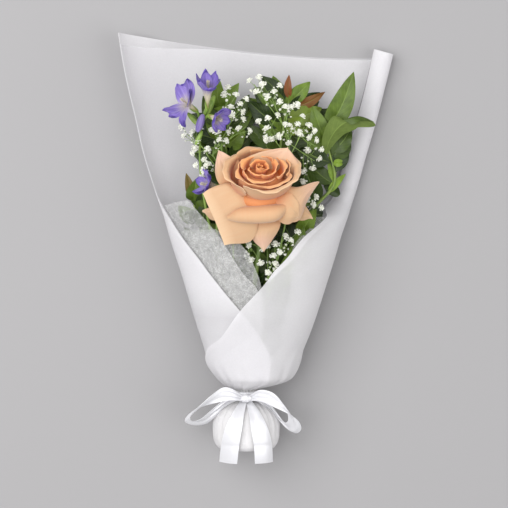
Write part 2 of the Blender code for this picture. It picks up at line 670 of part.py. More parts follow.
def rose_bloom(finish):
    """Inner petals in a spiral, a cup of rim petals with rolled lips, and spread outer petals."""
    frame = frame_towards(ROSE_BASE, ROSE_AXIS)
    parts = [lump(frame, *ROSE_CORE)]
    for k in range(ROSE_INNER_PETALS):
        radius = 5.5 + ROSE_INNER_STEP * k
        lean = -1.4 + 0.22 * k
        low = rose_core_top(0.9 * radius) - 2.5
        profile = ((0.9 * radius, low), (radius, 30.0), (radius + lean, 43.5 - 0.25 * k))
        parts.append(petal(frame, 40 + 137.5 * k, profile, 1.25 * radius + 5.0, (0.75, 0.8, 0.45), 4, 2))
    for k in range(ROSE_RIM_PETALS):
        radius = 31.0 + 1.9 * k
        profile = ((20.0 + 0.5 * k, 13.0 - 1.3 * k), (0.87 * radius, 18.0 - 1.5 * k), (radius, 29.0))
        profile += ((radius + 2.0, 36.5), (radius + 6.5, 37.5 - 0.3 * k))
        parts.append(petal(frame, -60 + 144 * k, profile, 29.0, (0.7, 0.6, 0.5), 4, 4))
    for azimuth, tip, tip_height, wide, lift in ROSE_OUTER_PETALS:
        profile = ((17.0, 5.5 + lift), (28.0, 7.0 + lift), (0.72 * tip, 0.55 * tip_height + 5.0 + lift))
        profile += ((tip, tip_height),)
        parts.append(petal(frame, azimuth, profile, wide, (0.55, 0.6, 0.95), 4, 3, 3.0))
    parts.append(petal(frame, -95, ROSE_FRONT_PETAL, 30.0, (0.8, 0.5, 0.3), 5, 4))
    return fused("rose_bloom", parts, finish, "MANIFOLD")


def rose_core_top(radius):
    height, wide, tall = ROSE_CORE
    return height + tall * math.sqrt(max(1 - (radius / wide) ** 2, 0.0))


def rose_stem(finish):
    """The rose's stem with the hip and five sepals under the bloom."""
    origin, _, _, axis = frame_towards(ROSE_BASE, ROSE_AXIS)
    depth, wide, tall = ROSE_HIP
    hip = frame_towards(origin - axis * depth, ROSE_AXIS)
    route = smooth_route(ROSE_ROUTE, 12) + [origin - axis * (depth + 1.4)]
    parts = [stem("rose stem", route, [2.6] * 12 + [2.4]), lump(hip, 0.0, wide, tall)]
    for k in range(ROSE_SEPALS):
        azimuth = 20 + 360 / ROSE_SEPALS * k
        parts.append(petal(hip, azimuth, ROSE_SEPAL, 2.8, (0.35, 0.8, 1.0), 2, 3))
    return fused("rose_stem", parts, finish)


def freesia_bloom(name, base, axis, size, opening, finish):
    """A funnel of six petals on a slim tube."""
    frame = frame_towards(base, axis, (0.3, 0.2, 1.0))
    origin, _, _, direction = frame
    steps = ((0.0, 1.7), (0.3, 2.4), (0.56, 4.8))
    tube = stem("tube", [origin + direction * size * s for s, _ in steps], [r for _, r in steps])
    parts = [tube]
    for k in range(6):
        inner = 1.1 * (k % 2)
        profile = ((4.0 - inner, 0.5 * size), (7.5 - inner, 0.68 * size))
        profile += ((0.75 * opening - inner, 0.87 * size), (opening - inner, size))
        parts.append(petal(frame, 60 * k, profile, 0.6 * opening, (0.6, 0.4, 0.6), 2, 2))
    return fused(name, parts, finish)


def freesia_stem(finish):
    """The arching stem, its side branch, green buds and a stalk for each bloom."""
    route = smooth_route(FREESIA_ROUTE, 13)
    branch = smooth_route(FREESIA_BRANCH, 7)
    parts = [stem("freesia stem", route, [1.7] * 13), stem("branch", branch, [1.3] * 7)]
    for base, tip, wide in FREESIA_BUDS:
        run = Vector(tip) - Vector(base)
        parts.append(lump(frame_towards(base, run), run.length / 2, wide, run.length / 2))
    for base, axis, _, _ in FREESIA_BLOOMS:
        axis = Vector(axis).normalized()
        start = route[-1] if base[1] > FREESIA_ROUTE[-2][1] else branch[-1]
        end = Vector(base) - axis * 0.5
        parts.append(stem("stalk", [start, end - axis * 3.0, end], [1.5, 1.5, 1.5]))
    return fused("freesia_stem", parts, finish)


def leaf(base, tip, wide, arch=3.0, fold=0.18, lean=0.0):
    """A pointed leaf from its stem to its tip, arched along and folded at the midrib. lean turns
    its face about its own length, in degrees from facing up."""
    base, tip = Vector(base), Vector(tip)
    run = (tip - base).normalized()
    side = run.cross(Vector((0, 0, 1))).normalized()
    face = side.cross(run).normalized()
    turn = Matrix.Rotation(math.radians(lean), 3, run)
    side, face = turn @ side, turn @ face

    def place(across, along):
        x = 2 * across - 1
        reach = 0.5 * wide * outline(along, 0.45, 0.12, 0.8) * (0.25 + 0.75 * smooth_step(along / 0.2))
        lift = arch * 4 * along * (1 - along) + fold * abs(x) * reach
        return base.lerp(tip, along) + side * x * reach + face * lift

    return sheet("leaf", 2, LEAF_ROWS, place, LEAF_THICKNESS)


def leafy_stem(name, route_points, branches, leaves, radius, finish):
    """A stem and its side branches, with each leaf rooted on one of them at a share of its length."""
    taper = [radius] * 9 + [radius * 0.8, radius * 0.7, radius * 0.55, radius * 0.4]
    routes = [smooth_route(route_points, len(taper))]
    parts = [stem(name, routes[0], taper)]
    for points in branches:
        routes.append(smooth_route(points, 7))
        parts.append(stem("branch", routes[-1], [0.7 * radius] * 5 + [0.55 * radius, 0.4 * radius]))
    for branch, share, tip, wide, lean in leaves:
        route = routes[branch]
        place = share * (len(route) - 1)
        low = min(int(place), len(route) - 2)
        base = route[low].lerp(route[low + 1], place - low)
        parts.append(leaf(base, tip, wide, lean=lean))
    return fused(name, parts, finish)


def gypsophila_spray(name, route_points, clusters, seed, finish):
    """A wiry stem whose side branches each end in a cluster of round double florets."""
    draw = random.Random(seed)
    route = smooth_route(route_points, 15)
    radii = [GYPS_STEM_RADIUS - 0.08 * max(k - 6, 0) for k in range(15)]
    parts = [stem(name, route, radii, 0)]
    for centre, florets in clusters:
        hub = Vector(centre)
        root = min(route[5:], key=lambda p: abs((p - hub).length - GYPS_BRANCH_LENGTH))
        bend = root.lerp(hub, 0.5) + Vector((0, 0, 1.5))
        parts.append(stem("branch", [root, bend, hub], GYPS_BRANCH_RADII, 0))
        first = draw.uniform(0, math.tau)
        for k in range(florets):
            angle = first + math.tau * k / florets + draw.uniform(-0.35, 0.35)
            reach = draw.uniform(*GYPS_CLUSTER_REACH)
            head = hub + Vector((reach * math.cos(angle), reach * math.sin(angle), draw.uniform(-1.0, 3.0)))
            foot = bend.lerp(hub, 0.55 + 0.43 * k / florets)
            out = (head - foot).normalized()
            parts.append(stem("floret", [foot, head - out * 2.4, head + out * 1.8], GYPS_FLORET_RADII, 0))
    return fused(name, parts, finish, "MANIFOLD")


def main():
    for old in list(bpy.data.objects):
        bpy.data.objects.remove(old)
    paper = material("white wrapping paper", (0.86, 0.86, 0.87), 0.6)
    lining = material("white lining paper", (0.82, 0.82, 0.83), 0.65)
    fibre = material("grey fibre tissue", (0.62, 0.64, 0.65), 0.85)
    satin = material("white satin ribbon", (0.88, 0.87, 0.9), 0.35)
    cotton = material("wet cotton", (0.8, 0.8, 0.78), 0.9)
    latex = material("natural rubber band", (0.6, 0.42, 0.24), 0.6)
    peach = material("peach rose petal", (0.9, 0.55, 0.3), 0.6)
    violet = material("violet freesia petal", (0.2, 0.12, 0.52), 0.55)
    green = material("rose green", (0.1, 0.22, 0.05), 0.5)
    freesia_green = material("freesia green", (0.2, 0.36, 0.07), 0.5)
    leaf_green = material("leaf green", (0.06, 0.16, 0.02), 0.45)
    white = material("gypsophila white", (0.85, 0.86, 0.8), 0.8)
    made = [outer_wrap(paper), inner_sheet(lining), wet_pad(cotton), stem_binding(latex)]
    for row in TISSUES:
        made.append(tissue(*row, fibre))
    made.append(ribbon(satin))
    made.append(rose_bloom(peach))
    made.append(rose_stem(green))
    made.append(freesia_stem(freesia_green))
    for letter, (base, axis, size, opening) in zip("abcd", FREESIA_BLOOMS):
        made.append(freesia_bloom("freesia_bloom_" + letter, base, axis, size, opening, violet))
    for name, route, branches, leaves, radius in LEAFY_STEMS:
        made.append(leafy_stem(name, route, branches, leaves, radius, leaf_green))
    for name, route, clusters, seed in GYPSOPHILA:
        made.append(gypsophila_spray(name, route, clusters, seed, white))
    bouquet = bpy.data.collections.new("Mixed flower bouquet")
    bpy.context.scene.collection.children.link(bouquet)
    for piece in made:
        bpy.context.scene.collection.objects.unlink(piece)
        bouquet.objects.link(piece)
        piece.data.shade_smooth()
        piece.data.set_sharp_from_angle(angle=math.radians(40))


main()
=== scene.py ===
"""Builds the looks of a mixed flower bouquet that lies on its back: papers, satin ribbon, one peach
rose, violet freesias, leafy stems and gypsophila.

Lengths are in millimetres, measured from the tie: x to the right, y from the foot to the flowers and
z up from the surface that the bouquet lies on. set_down turns them into Blender's metres. Angles
in the tables are in degrees.
"""

import math
import random

import bpy
import numpy as np
from bpy.props import FloatProperty, FloatVectorProperty, PointerProperty
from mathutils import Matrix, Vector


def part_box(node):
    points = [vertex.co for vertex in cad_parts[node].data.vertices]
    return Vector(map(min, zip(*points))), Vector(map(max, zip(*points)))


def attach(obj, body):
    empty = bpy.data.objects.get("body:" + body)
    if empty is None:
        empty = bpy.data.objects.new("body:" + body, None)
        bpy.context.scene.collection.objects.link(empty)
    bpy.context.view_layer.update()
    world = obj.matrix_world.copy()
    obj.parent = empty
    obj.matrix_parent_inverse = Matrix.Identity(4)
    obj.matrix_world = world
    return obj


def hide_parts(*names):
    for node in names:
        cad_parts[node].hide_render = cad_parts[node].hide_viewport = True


bl_info = {
    "name": "Mixed Flower Bouquet",
    "version": (1, 0, 0),
    "blender": (4, 5, 0),
    "location": "View3D > Sidebar > Bouquet",
    "description": "Builds a wrapped bouquet with its papers, ribbon, blooms, leaves and gypsophila",
    "category": "Add Mesh",
}

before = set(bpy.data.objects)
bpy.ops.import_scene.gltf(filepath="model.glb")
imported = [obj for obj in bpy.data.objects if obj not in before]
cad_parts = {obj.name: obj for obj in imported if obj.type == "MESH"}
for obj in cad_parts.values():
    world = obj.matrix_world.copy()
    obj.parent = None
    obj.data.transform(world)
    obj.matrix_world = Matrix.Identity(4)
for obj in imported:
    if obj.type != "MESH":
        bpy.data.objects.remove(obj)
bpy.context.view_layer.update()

MM = 0.001
BODY = "root"
# The tie's place and the stems' height above the surface follow from the rubber band's box
BINDING_LOW, BINDING_HIGH = (np.array(corner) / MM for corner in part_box("stem_binding"))
BINDING_FROM_TIE = 14.5
AXIS_HEIGHT = (BINDING_LOW[2] + BINDING_HIGH[2]) / 2
TIE = (BINDING_LOW + BINDING_HIGH) / 2 - np.array((0.0, BINDING_FROM_TIE, AXIS_HEIGHT))

# Columns and rows of the sheets that are laid one by one
GRIDS = {
    "hem": (8, 48),
    "foot": (184, 56),
    "lining": (62, 70),
    "tissue": (36, 90),
    "tissue layer": (36, 80),
    "band": (96, 14),
    "loop": (18, 96),
    "tail": (18, 60),
    "spread petal": (28, 34),
    "rolled petal": (40, 46),
    "sepal": (8, 14),
    "freesia petal": (14, 26),
    "bract": (8, 12),
    "leaf": (12, 26),
    "low leaf": (8, 18),
    "folded leaf": (30, 44),
}

# Outer wrap. Each station: y, left edge, right edge, underside, the two left radii and turn of the left
# edge, the two right radii and turn of the right edge. A turn is in degrees from the underside.
WRAP_STATIONS = (
    (6.5, -12.2, 12.2, 18.8, 12.2, 12.2, 200.0, 12.2, 12.2, 262.0),
    (9.5, -20.0, 26.0, 12.0, 23.0, 19.0, 200.0, 23.0, 19.0, 262.0),
    (13.5, -25.0, 41.0, 6.0, 33.0, 25.0, 200.0, 33.0, 25.0, 262.0),
    (19.0, -30.5, 49.0, 2.0, 39.7, 29.5, 200.0, 39.7, 29.5, 262.0),
    (32.0, -39.5, 55.7, 0.0, 47.6, 31.7, 200.0, 47.6, 31.7, 262.0),
    (47.0, -43.5, 59.7, 0.0, 51.6, 33.0, 196.0, 51.6, 33.0, 245.0),
    (62.0, -48.0, 65.5, 0.0, 56.7, 34.5, 186.0, 56.7, 34.5, 216.0),
    (93.0, -57.0, 76.0, 0.0, 66.5, 37.5, 164.0, 66.5, 37.5, 191.0),
    (125.0, -66.5, 86.0, 0.0, 70.0, 37.5, 146.0, 62.0, 37.0, 180.0),
    (142.0, -72.0, 91.0, 0.0, 70.0, 37.5, 138.0, 51.0, 33.0, 180.0),
    (160.0, -77.5, 96.0, 0.0, 70.0, 37.5, 127.5, 40.0, 29.0, 181.0),
    (181.0, -83.5, 104.0, 0.0, 66.0, 37.5, 115.0, 20.0, 22.0, 192.0),
    (197.0, -89.0, 110.0, 0.0, 63.0, 38.0, 102.0, 12.0, 13.0, 320.0),
    (213.0, -94.0, 115.0, 0.0, 60.0, 38.0, 91.0, 11.0, 11.0, 440.0),
    (240.0, -102.5, 122.5, 0.0, 60.0, 36.0, 90.0, 11.2, 11.0, 480.0),
    (270.0, -111.0, 131.0, 0.0, 62.0, 35.0, 90.0, 10.8, 10.6, 500.0),
    (305.0, -120.5, 140.0, 0.0, 64.0, 35.0, 90.0, 10.4, 10.4, 500.0),
    (345.0, -128.5, 149.5, 0.0, 66.0, 35.0, 90.0, 10.6, 10.6, 500.0),
)
WRAP_YS = tuple(station[0] for station in WRAP_STATIONS)
# Columns of the left side, the flat back and the right side with its roll, and the column where the
# right side starts
SIDE_COLUMNS = 9
FLOOR_COLUMNS = 4
ROLL_COLUMNS = 14
RIGHT_START = SIDE_COLUMNS + FLOOR_COLUMNS
WRAP_COLUMNS = RIGHT_START + ROLL_COLUMNS
# The front panel lies past this column, this far out over the left flap
PANEL_COLUMN = 21.5
FRONT_OVERLAP_GAP = 2.3
# How much the roll winds in with each turn
ROLL_PITCH = 2.7
# The top edge: its level, where its slope starts to show, how far it rises to the left and drops to the
# right between two x, and how the roll's end rises and slopes by itself
WRAP_TOP_Y = 345.0
WRAP_TOP_SLOPE_START = 250.0
WRAP_TOP_RISE = 26.0
WRAP_TOP_DROP = 6.0
WRAP_TOP_SPAN = (-128.0, 105.0)
ROLL_TOP_RISE = 7.0
ROLL_TOP_SLOPE = 0.28
# The paper's middle lies this far inside the stations, and each column and row is laid as this many
WRAP_INSET = 0.45
WRAP_FINENESS = 6
# The hem of the front panel: its width, and where it starts and ends along the panel
HEM_WIDTH = 7.0
HEM_SPAN = (118.0, 186.0)

# Gathers round the neck, and how soon they fade along the cone
NECK_PLEATS = 21
NECK_PLEAT_FADE = 17.0

# Foot: y and radius from the neck to the flat end
FOOT_PROFILE = (
    (9.0, 12.0),
    (-5.2, 12.0),
    (-9.0, 19.0),
    (-14.0, 26.0),
    (-22.0, 32.0),
    (-32.0, 34.5),
    (-42.0, 34.2),
    (-50.0, 32.3),
    (-54.0, 29.5),
)
FOOT_PLEATS = 23
FOOT_PLEAT_DEPTH = 0.5

# Second sheet: how far it lies inside the wrap, its last column, where it starts and how far its top
# edge drops to the left
INNER_SHEET_INSET = 1.8
INNER_SHEET_COLUMNS = RIGHT_START - 0.72
INNER_SHEET_START = 19.0
INNER_SHEET_DROP = 8.0

# Tissues: y of each row and the turn of the free edge there
LEFT_TISSUE_EDGE = (
    (14.0, 188.0), (32.0, 188.0), (47.0, 188.0), (62.0, 188.0), (93.0, 186.0),
    (111.0, 184.0), (126.0, 175.5), (155.0, 167.0), (173.0, 161.0), (200.0, 149.0),
)
LEFT_FOLD_EDGE = (
    (32.0, 180.0), (62.0, 184.0), (93.0, 188.0), (119.0, 188.0),
    (133.0, 187.0), (144.0, 186.0), (156.0, 181.0), (171.0, 163.0),
)
RIGHT_TISSUE_EDGE = (
    (32.0, 150.0), (62.0, 150.0), (93.0, 150.0), (125.0, 160.0),
    (146.0, 178.0), (160.0, 186.0), (171.0, 190.0), (181.0, 205.0),
)
# name, side, free edge, turn of the fixed edge, inset from the wrap, slant of the top, the share of its
# length that lies double, and the cut sheet's width and length
TISSUES = (
    ("left_tissue", -1, LEFT_TISSUE_EDGE, 93.0, 4.8, 9.0, 0.86, (70.0, 346.0)),
    ("left_tissue_fold", -1, LEFT_FOLD_EDGE, 104.0, 6.9, 4.0, 0.0, (70.0, 139.0)),
    ("right_tissue", 1, RIGHT_TISSUE_EDGE, 93.0, 3.9, 0.0, 0.0, (50.0, 149.0)),
)
TISSUE_LAYER_GAP = 0.45
TISSUE_THICKNESS = 0.2 * MM

# Ribbon: a band round the neck, a knot in front of it, two loops and two tails
BAND_RADIUS = 13.5
BAND_HALF_WIDTH = 4.0
KNOT_MIDDLE = (0.0, -1.5, 48.0)
KNOT_HALF_SIZE = (6.2, 4.2, 4.2)
# centres, width directions and widths along each loop of the bow
LEFT_LOOP = (
    ((-4, -1, 49), (-13, 3, 55), (-23, 4, 58), (-34, 0, 58), (-46, -8, 55), (-56, -17, 50), (-59, -24, 46),
     (-53, -28, 43), (-43, -26, 42), (-33, -18, 43), (-22, -8, 44), (-11, -2, 45), (-4, -2, 46)),
    ((0, 1, 0.1), (0.1, 1, 0.1), (0.25, 1, 0.1), (0.4, 0.75, 0.45), (0.4, 0.45, 0.8), (0.4, 0.35, 0.85),
     (0.3, 0.4, 0.85), (-0.1, 0.4, 0.9), (-0.3, 0.5, 0.8), (-0.3, 0.7, 0.6), (-0.1, 0.9, 0.4), (0, 1, 0.1),
     (0, 1, 0)),
    (6, 11, 15, 17.5, 18, 18, 18, 17, 15, 12, 9, 7, 6),
)
RIGHT_LOOP = (
    ((4, -1, 49), (14, 2, 55), (27, -1, 60), (38, -8, 59), (47, -19, 53), (49, -29, 46),
     (44, -33, 40), (34, -24, 38), (22, -10, 41), (11, -2, 44), (4, -2, 46)),
    ((0, 1, 0.1), (-0.1, 1, 0.1), (-0.3, 1, 0.05), (-0.5, 0.85, 0.1), (-0.65, 0.7, 0.15), (-0.7, 0.65, 0.25),
     (-0.6, 0.75, 0.3), (-0.4, 0.9, 0.2), (-0.1, 1, 0.1), (0, 1, 0), (0, 1, 0)),
    (6, 12, 17, 19, 18.5, 18, 17, 13, 9, 7, 6),
)
# The tails lie this far above the foot, and droop past its end
TAIL_CLEARANCE = 2.0
TAIL_FOOT_END = -47.0
TAIL_DROP_START = -50.0
TAIL_DROP = 0.012
TAIL_WIDTHS = (6.0, 12.0, 17.0, 18.0, 18.0)
LEFT_TAIL = ((-2, -4, 0), (-8, -16, 0), (-13, -32, 0), (-16, -48, 0), (-18, -66, 0))
RIGHT_TAIL = ((2, -4, 0), (9, -16, 0), (14, -32, 0), (17, -48, 0), (18, -66, 0))
RIBBON_WIDTH = 18.0

# Rose: where its bloom starts, the way it faces and its stem
ROSE_BASE = (15.0, 204.0, 68.0)
ROSE_AXIS = (0.03, 0.62, 0.78)
ROSE_ROUTE = ((0, -44, 31), (0, 20, 31), (2, 60, 37), (8, 110, 47), (14, 160, 51), (15, 188, 55))
# The lower and the upper core that its petals stand on: height, half width and half height
ROSE_CORE = (11.4, 24.0, 11.4)
CUP_CORE = (24.5, 23.5, 13.0)
# The cup is narrower from front to back, most of all in front, its rim leans towards the front, and its
# heart lies off centre
CUP_DEPTH = 0.83
CUP_FRONT = 0.8
CUP_LEAN = 0.05
HEART_OFFSET = (-2.5, 2.5)
CUP_RADIUS = 28.0
# azimuth, half sweep, rim radius, rim height, how far the lip rolls out, how far the rim drops at its
# ends, how far one end tucks in, and tone
CUP_PETALS = (
    (40, 150, 2.0, 47.0, 0.3, 0.08, 0.8, 0.0),
    (205, 104, 4.2, 48.2, 0.6, 0.2, 2.0, 0.05),
    (318, 96, 6.2, 46.4, 0.9, 0.2, 2.2, 0.05),
    (85, 86, 8.4, 48.0, 1.0, 0.24, 2.4, 0.1),
    (222, 78, 11.2, 45.8, 1.5, 0.28, 2.8, 0.15),
    (338, 68, 14.0, 47.0, 1.8, 0.32, 3.0, 0.2),
    (112, 72, 16.4, 47.2, 1.9, 0.32, 3.0, 0.2),
    (238, 70, 18.8, 44.4, 2.5, 0.32, 2.8, 0.35),
    (20, 62, 21.4, 45.8, 2.4, 0.34, 2.8, 0.4),
    (168, 58, 22.6, 45.4, 2.6, 0.3, 2.6, 0.4),
    (282, 78, 25.0, 42.0, 3.2, 0.3, 2.4, 0.5),
    (48, 66, 27.0, 44.0, 3.0, 0.25, 1.8, 0.55),
    (154, 86, 31.2, 41.0, 6.6, 0.5, 2.0, 0.9),
    (-34, 94, 30.6, 42.6, 6.4, 0.32, 2.0, 0.95),
    (84, 52, 30.5, 42.0, 4.5, 0.25, 1.5, 0.85),
)
# The spread petals, each between a left and a right edge that run from the core to the tip, in
# millimetres from the rose's base: edges, bulge, blush of the tip
SPREAD_PETALS = (
    (((-12, 5, 10), (-29, 13, 17), (-42, 14, 19), (-57, 5, 15)),
     ((-3, -8, 10), (-3, -26, 15), (-10, -41, 12), (-36, -46, 7)), 8.0, 0.1),
    (((-6, -5, 8), (-9, -27, 12), (-8, -39, 10), (3, -54, 1)),
     ((12, -6, 8), (19, -26, 12), (11, -40, 9), (3, -54, 1)), 3.5, 0.75),
    (((14, -4, 10), (34, -19, 11), (51, -21, 4)),
     ((18, 2, 10), (40, -3, 10), (51, -21, 4)), 2.0, 0.0),
    (((7, -6, 16), (15, -22, 20), (27, -23, 22), (38, -19, 20), (45, -3, 17), (57, 15, 11)),
     ((14, 5, 16), (27, 11, 24), (39, 13, 22), (57, 15, 11)), 5.0, 0.6),
    (((7, -6, 18), (16, -21, 22), (27, -24, 22), (37, -19, 20)),
     ((16, 4, 20), (29, 5, 27), (37, -4, 26), (37, -19, 20)), 3.5, 0.0),
    (((-18, 8, 10), (-38, 10, 14), (-45, 27, 16), (-42, 46, 14)),
     ((-10, 14, 10), (-22, 36, 19), (-31, 41, 18), (-42, 46, 14)), 2.5, 0.9),
    (((-8, 14, 12), (-18, 34, 26), (-3, 46, 31), (26, 50, 29)),
     ((17, 9, 12), (36, 18, 22), (38, 34, 27), (26, 50, 29)), -3.0, 0.6),
    (((-12, 0, 6), (-42, -6, 7), (-58, -14, 0)),
     ((-8, -4, 6), (-42, -21, 6), (-58, -14, 0)), 2.0, 0.2),
)
# The front petal rolls over outwards: the line where it leaves the core, the middle line of its roll
# and the roll's radii, from left to right
ROLLED_FOOT = ((-12, -4, 10), (-4, -6, 9), (6, -6, 10), (14, -4, 12))
ROLLED_MIDDLE = ((-33, -20, 19), (-22, -18, 23), (-2, -17, 25), (16, -15, 25), (27, -9, 23))
ROLLED_RADII = (2.0, 7.8, 9.3, 8.6, 3.0)
# The hip: depth below the bloom, half width and half height. Then its sepals
ROSE_HIP = (5.3, 4.6, 4.9)
ROSE_SEPALS = 5
SEPAL_PROFILE = ((2.0, -1.0), (8.0, -3.0), (16.0, -8.5), (22.0, -15.0))
SEPAL_HALF_WIDTH = 2.9
SEPAL_THICKNESS = 0.5 * MM

# Freesia: its stem and side branch
FREESIA_ROUTE = ((-4.9, -44, 33), (-4.9, 20, 33), (-12, 60, 37), (-22, 110, 43), (-36, 170, 46),
                 (-44, 215, 47), (-46, 250, 50), (-44, 277, 61))
FREESIA_BRANCH = ((-22, 110, 43), (-28, 150, 46), (-29, 185, 47), (-24, 205, 53))
# The way that azimuth 90 of a bloom points, as near as its axis lets it
FREESIA_UP = (0.3, 0.2, 1.0)
# name, base, axis, length
FREESIA_BLOOMS = (
    ("freesia_bloom_a", (-38.0, 291.0, 67.0), (0.03, 0.93, 0.35), 36.0),
    ("freesia_bloom_b", (-49.0, 288.0, 66.0), (-0.68, 0.56, 0.47), 27.0),
    ("freesia_bloom_c", (-36.0, 283.0, 70.0), (0.78, -0.26, 0.57), 20.0),
    ("freesia_bloom_d", (-25.0, 212.0, 61.0), (-0.9, 0.2, 0.34), 27.0),
)
# Each bloom's six petals: azimuth, reach from the axis, how far the tip falls back, half width
FREESIA_PETALS = {
    "freesia_bloom_a": ((30, 10.5, 3, 7.0), (90, 9.5, 13, 8.0), (150, 11, 4, 7.0), (210, 10.5, 0, 6.5),
                        (270, 8, -2, 7.0), (330, 11, 1, 6.5)),
    "freesia_bloom_b": ((178, 16, 0, 9.5), (130, 12, 3, 8.5), (222, 15, 0, 9.0), (-38, 17, 1, 7.0),
                        (-6, 17, 5, 5.5), (28, 23, 15, 4.0)),
    "freesia_bloom_c": ((0, 11.5, 0, 7.0), (60, 10, 2, 7.0), (120, 11, 3, 7.0), (180, 12, 2, 7.5),
                        (240, 9, 0, 6.5), (300, 9, 0, 5.5)),
    "freesia_bloom_d": ((180, 13, 6, 6.0), (120, 12, 8, 6.5), (60, 10, 8, 6.0), (0, 9, 1, 5.5),
                        (-40, 10, 0, 5.5), (240, 9, 2, 5.5)),
}
# Green buds: base, tip and half width
FREESIA_BUDS = (
    ((-45, 272, 60), (-58, 286, 58), 2.8),
    ((-43, 268, 60), (-50, 254, 60), 2.4),
    ((-42, 279, 62), (-31, 303, 56), 3.6),
)
# The two bracts at each bloom's base
BRACT_PROFILE = ((1.6, 0.0), (2.3, 3.0), (2.5, 6.5), (2.2, 9.5))
BRACT_HALF_WIDTH = 2.6
BRACT_THICKNESS = 0.35 * MM
# The violet bud that hangs below the open blooms
FREESIA_VIOLET_BUD = ((-42, 285, 68), (-48, 267, 69), 3.9)

# Leafy stems: route, side branches, then leaves as branch (0 is the stem itself), share of its length,
# tip, width and lean, and the stem's radius
LEAFY_STEMS = (
    ("right_leafy_stem",
     ((5.1, -44, 29.6), (5.1, 0, 29.6), (5.3, 24, 29.6), (18, 60, 29), (38, 110, 31), (54, 160, 36),
      (66, 188, 39), (88, 214, 42), (84, 243, 42), (77, 262, 42)),
     (),
     ((0, 0.99, (107, 326, 48), 23, -10), (0, 0.93, (100, 282, 33), 18, 20), (0, 0.88, (103, 262, 34), 20, 0),
      (0, 0.78, (87, 254, 33), 9, 0), (0, 0.93, (56, 264, 40), 17, 0), (0, 0.62, (48, 152, 24), 20, 0),
      (0, 0.55, (56, 126, 22), 18, 0), (0, 0.70, (58, 214, 33), 20, 0), (0, 0.74, (100, 224, 35), 8, 0),
      (0, 0.96, (66, 292, 44), 17, 0), (0, 0.86, (98, 236, 40), 8, 0),
      (0, 0.43, (46, 152, 54), 17, 0), (0, 0.5, (58, 172, 54), 17, 0), (0, 0.55, (70, 190, 53), 17, 0)),
     1.8),
    ("centre_leafy_stem",
     ((2.5, -44, 26.3), (2.5, 20, 26.3), (10, 60, 22), (18, 110, 20), (26, 170, 24), (32, 230, 28),
      (38, 275, 32), (43, 298, 35)),
     (((24, 155, 22), (34, 190, 15), (44, 235, 12), (50, 268, 15)),),
     ((0, 1.0, (43, 323, 38), 8, 0), (0, 0.97, (64, 316, 37), 16, 0), (0, 0.93, (27, 322, 33), 18, 0),
      (0, 0.9, (8, 310, 35), 20, 0), (0, 0.93, (79, 306, 36), 12, 0), (0, 0.88, (76, 290, 36), 20, 0),
      (0, 0.84, (70, 276, 31), 20, 0), (0, 0.81, (12, 286, 32), 21, 0), (0, 0.76, (62, 254, 27), 20, 0),
      (0, 0.72, (8, 252, 27), 21, 0), (0, 0.46, (-2, 142, 26), 20, 0), (0, 0.5, (44, 150, 28), 18, 0),
      (0, 0.58, (4, 182, 26), 20, 0), (0, 0.4, (36, 120, 24), 16, 0),
      (0, 0.7, (14, 270, 22), 19, 0), (0, 0.82, (3, 300, 30), 20, 0), (0, 0.86, (16, 304, 26), 20, 0),
      (1, 1.0, (44, 306, 19), 22, 0), (1, 0.95, (18, 308, 16), 21, 0),
      (1, 0.9, (86, 290, 17), 22, 0), (1, 0.8, (14, 290, 14), 22, 0), (1, 0.62, (88, 256, 14), 23, 0),
      (1, 0.5, (8, 248, 11), 22, 0), (1, 0.3, (78, 216, 13), 22, 0),
      (0, 0.4, (34, 134, 53), 16, 0)),
     1.7),
    ("left_leafy_stem",
     ((-1.8, -44, 26), (-1.8, 20, 26), (-4, 60, 20), (-7, 110, 17), (-12, 170, 21), (-18, 230, 25),
      (-22, 262, 29), (-25, 285, 32)),
     (((-12, 175, 21), (-14, 210, 14), (-18, 240, 12)),),
     ((0, 1.0, (-27, 319, 40), 16, 0), (0, 0.95, (-7, 315, 38), 16, 0), (0, 0.97, (-17, 292, 43), 22, 0),
      (0, 0.9, (-43, 302, 36), 18, 0), (0, 0.84, (-40, 282, 36), 17, 0), (0, 0.8, (-1, 268, 38), 21, 0),
      (0, 0.76, (-42, 254, 30), 18, 0), (0, 0.7, (-2, 230, 26), 18, 0), (0, 0.45, (-18, 148, 24), 17, 0),
      (0, 0.86, (8, 292, 28), 20, 0),
      (1, 1.0, (-30, 284, 17), 21, 0), (1, 0.85, (2, 272, 14), 22, 0), (1, 0.6, (-44, 232, 15), 18, 0),
      (0, 0.4, (-8, 128, 50), 16, 0)),
     1.7),
    ("low_leafy_stem",
     ((-4.9, -44, 28.9), (-4.9, 20, 28.9), (-14, 60, 25), (-26, 105, 26), (-40, 150, 29),
      (-50, 182, 31), (-53, 196, 32)),
     (),
     ((0, 1.0, (-60, 225, 38), 10, 0), (0, 0.97, (-50, 219, 42), 17, 0), (0, 0.86, (-34, 198, 38), 20, 0),
      (0, 0.8, (-68, 192, 34), 16, 0), (0, 0.72, (-26, 170, 32), 18, 0), (0, 0.62, (-22, 142, 32), 17, 0),
      (0, 0.92, (-42, 206, 30), 17, 0),
      (0, 0.62, (-20, 150, 50), 17, 0), (0, 0.7, (-34, 168, 48), 17, 0)),
     1.6),
)
